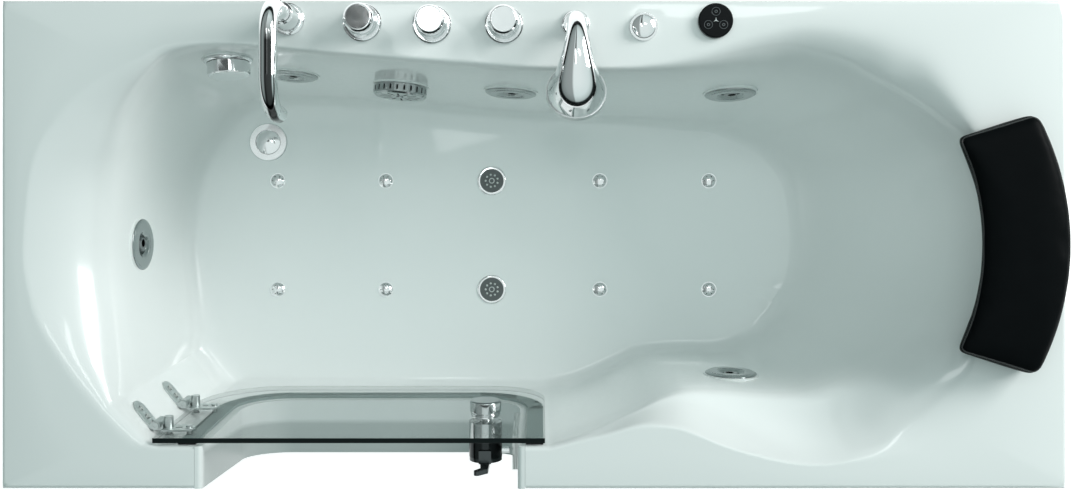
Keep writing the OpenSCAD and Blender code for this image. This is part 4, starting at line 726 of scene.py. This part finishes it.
deck_holes = (
    (-274, 354, 15), (-163, 351, 15), (-48, 351, 15), (66, 351, 12), (-392, 359, 13), (175, 347, 20),
    (289, 356, 8), (790, -100, 5.3), (790, 100, 5.3),
)
for x, y, bore in deck_holes:
    round_bar(holes, (x, y, DECK_MID), STRAIGHT_UP, bore, -CUT, CUT, 48)
carve(bath_shell, as_object("hole_saws", holes), "DIFFERENCE")
print("shell faces after the hole saws:", len(bath_shell.data.polygons))


# %% Doorway through the shell
def saddle(left, right, low, high, radius):
    quarter = [math.pi / 2 * k / 20 for k in range(21)]
    one = [(left + radius - radius * math.cos(a), low + radius - radius * math.sin(a)) for a in quarter]
    two = [(right - radius + radius * math.sin(a), low + radius - radius * math.cos(a)) for a in quarter]
    return [(left, high), *one, *two, (right, high)]


def leaning(x, y, z):
    c, s = math.cos(math.atan(LEAN)), math.sin(math.atan(LEAN))
    return Vector((x / 1000, (SEAL_Y + y * c - z * s) / 1000, (RIM + y * s + z * c) / 1000))


def prism(outline, y0, y1):
    bm = bmesh.new()
    near = [bm.verts.new(leaning(x, y0, z)) for x, z in outline]
    far = [bm.verts.new(leaning(x, y1, z)) for x, z in outline]
    bm.faces.new(near)
    bm.faces.new(far)
    for k in range(len(outline)):
        j = (k + 1) % len(outline)
        bm.faces.new((near[k], near[j], far[j], far[k]))
    bmesh.ops.recalc_face_normals(bm, faces=bm.faces)
    return bm


SILL_DROP, SAW_TOP, CORNER, SAW_FRONT, SAW_BACK = -340, 60, 90, -110, 2
door_saw = prism(saddle(*HOLE, SILL_DROP, SAW_TOP, CORNER), SAW_FRONT, SAW_BACK)
carve(bath_shell, as_object("door_saw", door_saw), "DIFFERENCE")
clean_select(bath_shell)
bpy.ops.object.shade_smooth_by_angle(angle=math.radians(32))
bath_shell.data.materials.append(acrylic)
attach(bath_shell, "tub")
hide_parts("tub_shell")
print("shell faces:", len(bath_shell.data.polygons))

# %% [markdown]
# The frame's own meshes are never touched. Where a fitting deserves softer edges or a rounder curve, a copy
# is taken: its loose triangles are merged, its flat faces are joined again, and the copy gets a fine bevel,
# because it is the small bright line along an edge that makes chrome look like metal.

# %% Softer copies of the frame's fittings
FLAT, EDGE_TURN = math.radians(0.6), math.radians(40)


def copy_of(name, new_name, join_flats=True):
    made = node[name].copy()
    made.data = node[name].data.copy()
    made.name = made.data.name = new_name
    bpy.context.collection.objects.link(made)
    made.parent = None
    made.matrix_world = Matrix.Identity(4)
    clean_select(made)
    if made.data.has_custom_normals:
        bpy.ops.mesh.customdata_custom_splitnormals_clear()
    bpy.ops.object.mode_set(mode="EDIT")
    bpy.ops.mesh.select_all(action="SELECT")
    bpy.ops.mesh.remove_doubles(threshold=0.00002)
    bpy.ops.mesh.normals_make_consistent(inside=False)
    bpy.ops.object.mode_set(mode="OBJECT")
    if join_flats:
        bpy.ops.object.mode_set(mode="EDIT")
        bpy.ops.mesh.select_all(action="SELECT")
        bpy.ops.mesh.dissolve_limited(angle_limit=FLAT)
        bpy.ops.object.mode_set(mode="OBJECT")
    return made


def add_bevel(piece, width, segments, turn):
    rounding = piece.modifiers.new("rounding", "BEVEL")
    rounding.width, rounding.segments, rounding.limit_method = width, segments, "ANGLE"
    rounding.angle_limit = turn
    apply_all(piece)


def settle(piece, name, body, finish):
    for held in piece.material_slots:
        held.link = "DATA"
    piece.data.materials.clear()
    piece.data.materials.append(finish)
    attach(piece, body)
    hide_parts(name)


body_with = {n: b for b, names in frame["record"]["behaviour"]["bodies"].items() for n in names}
bevel_mm = {
    "hot_knob": 0.8, "cold_knob": 0.8, "diverter_knob": 0.8, "deck_rings": 0.6, "shower_holder": 0.6,
    "overflow_flange": 0.5, "overflow_dial": 0.8, "suction_cap": 0.5, "jet_rings": 0.6, "drain_flange": 0.5,
    "drain_plug": 0.5, "bubbler_rings": 0.4, "air_button": 0.4, "latch_knob": 0.8, "latch_housing": 0.8,
    "latch_rose": 0.4, "latch_lever": 1.6, "touch_pad": 0.3, "hinge_wall_leaves": 0.4,
    "hinge_glass_leaves": 0.4, "hinge_clamps": 0.3,
}
special = {
    "jet_rings": port_chrome, "suction_cap": port_chrome, "latch_housing": latch_metal,
    "latch_lever": lever_metal, "touch_pad": black_plastic, "latch_knob": knob_chrome,
    "hinge_wall_leaves": hinge_metal, "hinge_glass_leaves": hinge_metal, "hinge_clamps": hinge_metal,
}
for name, width in bevel_mm.items():
    soft_piece = copy_of(name, name + "_soft")
    add_bevel(soft_piece, width / 1000, 2, EDGE_TURN)
    bpy.ops.object.shade_smooth_by_angle(angle=EDGE_TURN)
    even = soft_piece.modifiers.new("even_light", "WEIGHTED_NORMAL")
    even.keep_sharp = True
    apply_all(soft_piece)
    settle(soft_piece, name, body_with[name], special.get(name, chrome))
print("softened:", len(bevel_mm))

# %% [markdown]
# Three details on the flat fittings are too fine for the solid frame to colour: the three ring-shaped key
# marks and the small star on the touch pad, and the pale nozzles of the two floor bubblers. They are thin
# rings and low domes, each kind joined to one piece.

# %% Key marks and star on the touch pad
def joined(pieces, name):
    clean_select(*pieces)
    bpy.ops.object.join()
    bpy.ops.object.transform_apply(location=True, rotation=True, scale=True)
    made = bpy.context.object
    made.name = made.data.name = name
    return made


def thin_ring(x, y, z, radius, wire):
    bpy.ops.mesh.primitive_torus_add(
        location=(x, y, z), major_radius=radius, minor_radius=wire, major_segments=40, minor_segments=8,
    )
    bpy.ops.object.shade_smooth()
    return bpy.context.object


def low_dome(x, y, z, radius, height):
    bpy.ops.mesh.primitive_uv_sphere_add(location=(x, y, z), radius=radius, segments=16, ring_count=10)
    bpy.ops.transform.resize(value=(1, 1, height / radius))
    bpy.ops.object.shade_smooth()
    return bpy.context.object


mark_ink = new_finish("key_mark_grey", (0.10, 0.115, 0.12), 0.4)
spread(mark_ink, grain(mark_ink, 2, 2.0), 0.3, 0.5)
star_ink = new_finish("star_white", (0.62, 0.66, 0.66), 0.4)
spread(star_ink, grain(star_ink, 2, 2.0), 0.3, 0.5)
PAD_X, PAD_Y, PAD_TOP, KEYS_OUT = 0.289, 0.356, 0.6094, 0.014
key_rings = []
for k in range(3):
    turn = math.radians(90 + 120 * k)
    x, y = PAD_X + KEYS_OUT * math.cos(turn), PAD_Y + KEYS_OUT * math.sin(turn)
    key_rings.append(thin_ring(x, y, PAD_TOP, 0.0065, 0.00042))
    key_rings.append(thin_ring(x, y, PAD_TOP, 0.0019, 0.0006))
key_marks = joined(key_rings, "key_marks")
key_marks.data.materials.append(mark_ink)
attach(key_marks, "tub")
star, corners = bmesh.new(), []
for k in range(6):
    turn, far = math.radians(90 + 60 * k), (0.0050, 0.0009)[k % 2]
    corners.append((PAD_X + far * math.cos(turn), PAD_Y + far * math.sin(turn)))
low_ring = [star.verts.new((x, y, PAD_TOP - 0.0002)) for x, y in corners]
high_ring = [star.verts.new((x, y, PAD_TOP + 0.0005)) for x, y in corners]
star.faces.new(low_ring[::-1])
star.faces.new(high_ring)
for k in range(6):
    star.faces.new((low_ring[k], low_ring[(k + 1) % 6], high_ring[(k + 1) % 6], high_ring[k]))
pad_star = as_object("pad_star", star)
pad_star.data.materials.append(star_ink)
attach(pad_star, "tub")
print("key marks:", len(key_marks.data.polygons), "star:", len(pad_star.data.polygons))

# %% Nozzles of the floor bubblers
nozzle_steel = new_finish("bubbler_nozzle_steel", (0.62, 0.66, 0.65), 0.3, metal=0.6)
spread(nozzle_steel, grain(nozzle_steel, 1.5, 2.0), 0.25, 0.4)
FACE_TOP, NOZZLE_RISE, NOZZLES_OUT = 0.1630, 0.0010, 0.012
nozzle_z = FACE_TOP + NOZZLE_RISE
nozzles = []
for x, y in ((BUBBLER_X / 1000, row / 1000) for row in FLOOR_ROWS):
    nozzles.append(thin_ring(x, y, nozzle_z, 0.0046, 0.0010))
    for k in range(9):
        turn = math.radians(20 + 40 * k)
        dome_x, dome_y = x + NOZZLES_OUT * math.cos(turn), y + NOZZLES_OUT * math.sin(turn)
        nozzles.append(low_dome(dome_x, dome_y, nozzle_z, 0.0021, 0.0012))
bubbler_tips = joined(nozzles, "bubbler_tips")
bubbler_tips.data.materials.append(nozzle_steel)
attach(bubbler_tips, "tub")
print("bubbler tips:", len(bubbler_tips.data.polygons))

# %% Rounded jambs of the doorway
reveal = copy_of("doorway_reveal", "doorway_reveal_soft", join_flats=False)
bpy.ops.object.mode_set(mode="EDIT")
bpy.ops.mesh.select_all(action="SELECT")
bpy.ops.mesh.dissolve_limited(angle_limit=FLAT)
bpy.ops.mesh.select_all(action="DESELECT")
bm = bmesh.from_edit_mesh(reveal.data)
bm.select_mode = {"EDGE"}
for e in bm.edges:
    ends = [v.co for v in e.verts]
    level = all(p.z > RIM / 1000 - 0.0005 for p in ends)
    inner = all(HOLE[0] + 3 < p.x * 1000 < HOLE[1] - 3 for p in ends)
    crosswise = abs(ends[0].x - ends[1].x) < 0.0005
    e.select_set(level and inner and crosswise)
picked = sum(e.select for e in bm.edges)
bmesh.update_edit_mesh(reveal.data)
bpy.ops.mesh.bevel(offset=0.007, segments=6, profile=0.5)
bpy.ops.object.mode_set(mode="OBJECT")
bpy.ops.object.shade_smooth_by_angle(angle=EDGE_TURN)
settle(reveal, "doorway_reveal", "tub", reveal_acrylic)
print("jamb edges rounded:", picked)

# %% Spout with a full curve
spout = copy_of("bath_spout", "bath_spout_curved", join_flats=False)
bpy.ops.object.mode_set(mode="EDIT")
bpy.ops.mesh.select_all(action="SELECT")
bpy.ops.mesh.tris_convert_to_quads(face_threshold=math.radians(60), shape_threshold=math.radians(60))
bpy.ops.object.mode_set(mode="OBJECT")
crease = spout.data.attributes.new("crease_edge", "FLOAT", "EDGE")
sharp = bmesh.new()
sharp.from_mesh(spout.data)
for e in sharp.edges:
    if e.is_manifold and e.calc_face_angle() > math.radians(50):
        crease.data[e.index].value = 1.0
sharp.free()
rounder = spout.modifiers.new("rounder", "SUBSURF")
rounder.levels = rounder.render_levels = 2
apply_all(spout)
bpy.ops.object.shade_smooth_by_angle(angle=math.radians(45))
settle(spout, "bath_spout", "tub", chrome)
print("spout faces:", len(spout.data.polygons))

# %% [markdown]
# The pane's faces are a faint veil. Its top edge is almost black, and the other edges, seen through the
# glass, are a thin grey line. All of it is one sheet, so the edges are further materials on the same piece.

# %% Door pane with a dark edge
glass_edge = new_finish("polished_glass_edge", (0.004, 0.008, 0.008), 0.3, specular=0.08)
spread(glass_edge, grain(glass_edge, 3, 2.0), 0.25, 0.4)
side_edge = new_finish("ground_glass_edge", (0.10, 0.135, 0.13), 0.3, alpha=0.15)
spread(side_edge, grain(side_edge, 3, 2.0), 0.25, 0.4)
pane = copy_of("door_glass", "door_pane")
add_bevel(pane, 0.0007, 1, math.radians(60))
settle(pane, "door_glass", "door", glass)
pane.data.materials.append(glass_edge)
pane.data.materials.append(side_edge)
through = (leaning(0, 1, 0) - leaning(0, 0, 0)).normalized()
upward = (leaning(0, 0, 1) - leaning(0, 0, 0)).normalized()
for f in pane.data.polygons:
    facing = abs(f.normal.dot(through))
    if facing < 0.9:
        f.material_index = 1 if facing > 0.5 or f.normal.dot(upward) > 0.6 else 2
on_edge = sum(f.material_index > 0 for f in pane.data.polygons)
print("pane faces:", len(pane.data.polygons), "edge faces:", on_edge)

# %% [markdown]
# The neck pillow is a firm foam pad in a black skin, bent round the head of the bath. It starts as a slim
# pad with tight corners, swells a little in a cloth simulation, and gets a fine piping round its top edge.

# %% Pillow outline
# The long sides of the pad are arcs: place of the centre, radius, and half of the angle.
INNER_ARC, OUTER_ARC, LENGTH_TO_WIDTH = (287, 407, 25.0), (412.4, 428, 29.6), 2.4
CORNER_STEPS, SIDE_STEPS, CORNER_SIZE = 8, 36, 0.15


def on_arc(arc, v):
    centre_x, radius, half = arc
    a = math.radians(half * v)
    return Vector((centre_x + radius * math.cos(a), radius * math.sin(a), 0))


def pillow_point(u, v, z):
    # The wall towards the bather leans back under the pad, so from above only the top shows.
    tucked = 0.115 * max(0.0, 1 - z / 46)
    p = on_arc(INNER_ARC, v).lerp(on_arc(OUTER_ARC, v), u + (1 - u) * tucked)
    return Vector((p.x / 1000, p.y / 1000, (RIM + z) / 1000))


def pillow_ring(k, z):
    # A rectangle in (u, v) with small round corners.
    ru, rv = CORNER_SIZE, CORNER_SIZE / LENGTH_TO_WIDTH
    ring = []
    for side, (cu, cv) in enumerate(((1, 1), (-1, 1), (-1, -1), (1, -1))):
        for n in range(CORNER_STEPS + 1):
            a = math.pi / 2 * (side + n / CORNER_STEPS)
            ring.append((cu * (k - ru) + ru * math.cos(a), cv * (k - rv) + rv * math.sin(a)))
        nu, nv = ((-1, 1), (-1, -1), (1, -1), (1, 1))[side]
        last = ring[-1]
        a = math.pi / 2 * (side + 1)
        goal = (nu * (k - ru) + ru * math.cos(a), nv * (k - rv) + rv * math.sin(a))
        steps = SIDE_STEPS if side % 2 else SIDE_STEPS // 2
        for n in range(1, steps):
            ring.append(tuple(p + (q - p) * n / steps for p, q in zip(last, goal)))
    return [pillow_point((1 + u) / 2, v, z) for u, v in ring]


pad = bmesh.new()
layers = [
    (0.93, 1), (0.965, 4), (0.975, 12), (0.975, 38), (0.96, 46), (0.93, 50), (0.80, 53), (0.55, 55),
    (0.3, 56),
]
rings = [[pad.verts.new(p) for p in pillow_ring(k, z)] for k, z in layers]
for low, high in zip(rings, rings[1:]):
    for n in range(len(low)):
        m = (n + 1) % len(low)
        pad.faces.new((low[n], low[m], high[m], high[n]))
pad.faces.new(rings[0][::-1])
pad.faces.new(rings[-1])
bmesh.ops.remove_doubles(pad, verts=pad.verts, dist=0.00005)
bmesh.ops.recalc_face_normals(pad, faces=pad.faces)
neck_pad = as_object("neck_pad", pad)
print("pad faces before the fabric pass:", len(neck_pad.data.polygons))

# %% Pillow skin under pressure
CLOTH_FRAMES = 20
clean_select(neck_pad)
voxel = neck_pad.modifiers.new("voxel", "REMESH")
voxel.mode, voxel.voxel_size = "VOXEL", 0.0045
apply_all(neck_pad)
start = [v.co.copy() for v in neck_pad.data.vertices]
cloth = neck_pad.modifiers.new("skin", "CLOTH")
cloth.settings.use_pressure = True
cloth.settings.uniform_pressure_force = 4.0
cloth.settings.effector_weights.gravity = 0.0
cloth.settings.quality = 5
for moment in range(1, CLOTH_FRAMES + 1):
    bpy.context.scene.frame_set(moment)
apply_all(neck_pad)
bpy.context.scene.frame_set(1)
cap, floor_at, roof_at = 0.0025, (RIM + 0.6) / 1000, (RIM + 61.5) / 1000
moved = [v.co - was for v, was in zip(neck_pad.data.vertices, start)]
drift = sum(moved, Vector()) / len(moved)
for v, was, shift in zip(neck_pad.data.vertices, start, moved):
    swell = shift - drift
    v.co = was + swell * min(1.0, cap / max(swell.length, 1e-9))
    v.co.z = min(max(v.co.z, floor_at), roof_at)
smooth = neck_pad.modifiers.new("smooth", "SMOOTH")
smooth.factor, smooth.iterations = 0.5, 6
finer = neck_pad.modifiers.new("finer", "SUBSURF")
finer.levels = finer.render_levels = 1
apply_all(neck_pad)
bpy.ops.object.shade_smooth()
print("pad faces:", len(neck_pad.data.polygons))

# %% Pillow skin and piping
pad_skin = new_finish("soft_black_skin", (0.0030, 0.0042, 0.0048), 0.42, specular=0.03)
tinge(pad_skin, grain(pad_skin, 30, 2.0), (0.0016, 0.0024, 0.0029), (0.0027, 0.0038, 0.0043))
spread(pad_skin, grain(pad_skin, 4, 3.0), 0.36, 0.50)
relief(pad_skin, grain(pad_skin, 1.1, 4.0), 0.10, 0.35)
neck_pad.data.materials.append(pad_skin)
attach(neck_pad, "headrest")
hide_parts("pillow")
cord_path = bpy.data.curves.new("pad_piping", "CURVE")
cord_path.dimensions, cord_path.bevel_depth, cord_path.bevel_resolution = "3D", 0.0013, 3
loop = cord_path.splines.new("POLY")
welt = [neck_pad.closest_point_on_mesh(p)[1] for p in pillow_ring(0.975, 47.5)]
loop.points.add(len(welt) - 1)
for point, p in zip(loop.points, welt):
    point.co = (*p, 1)
loop.use_cyclic_u = True
piping = bpy.data.objects.new("pad_piping", cord_path)
bpy.context.collection.objects.link(piping)
clean_select(piping)
bpy.ops.object.convert(target="MESH")
piping = bpy.context.object
piping_skin = new_finish("piping_vinyl", (0.010, 0.013, 0.014), 0.35)
spread(piping_skin, grain(piping_skin, 2, 2.0), 0.24, 0.38)
piping.data.materials.append(piping_skin)
bpy.ops.object.shade_smooth()
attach(piping, "headrest")
print("piping faces:", len(piping.data.polygons))
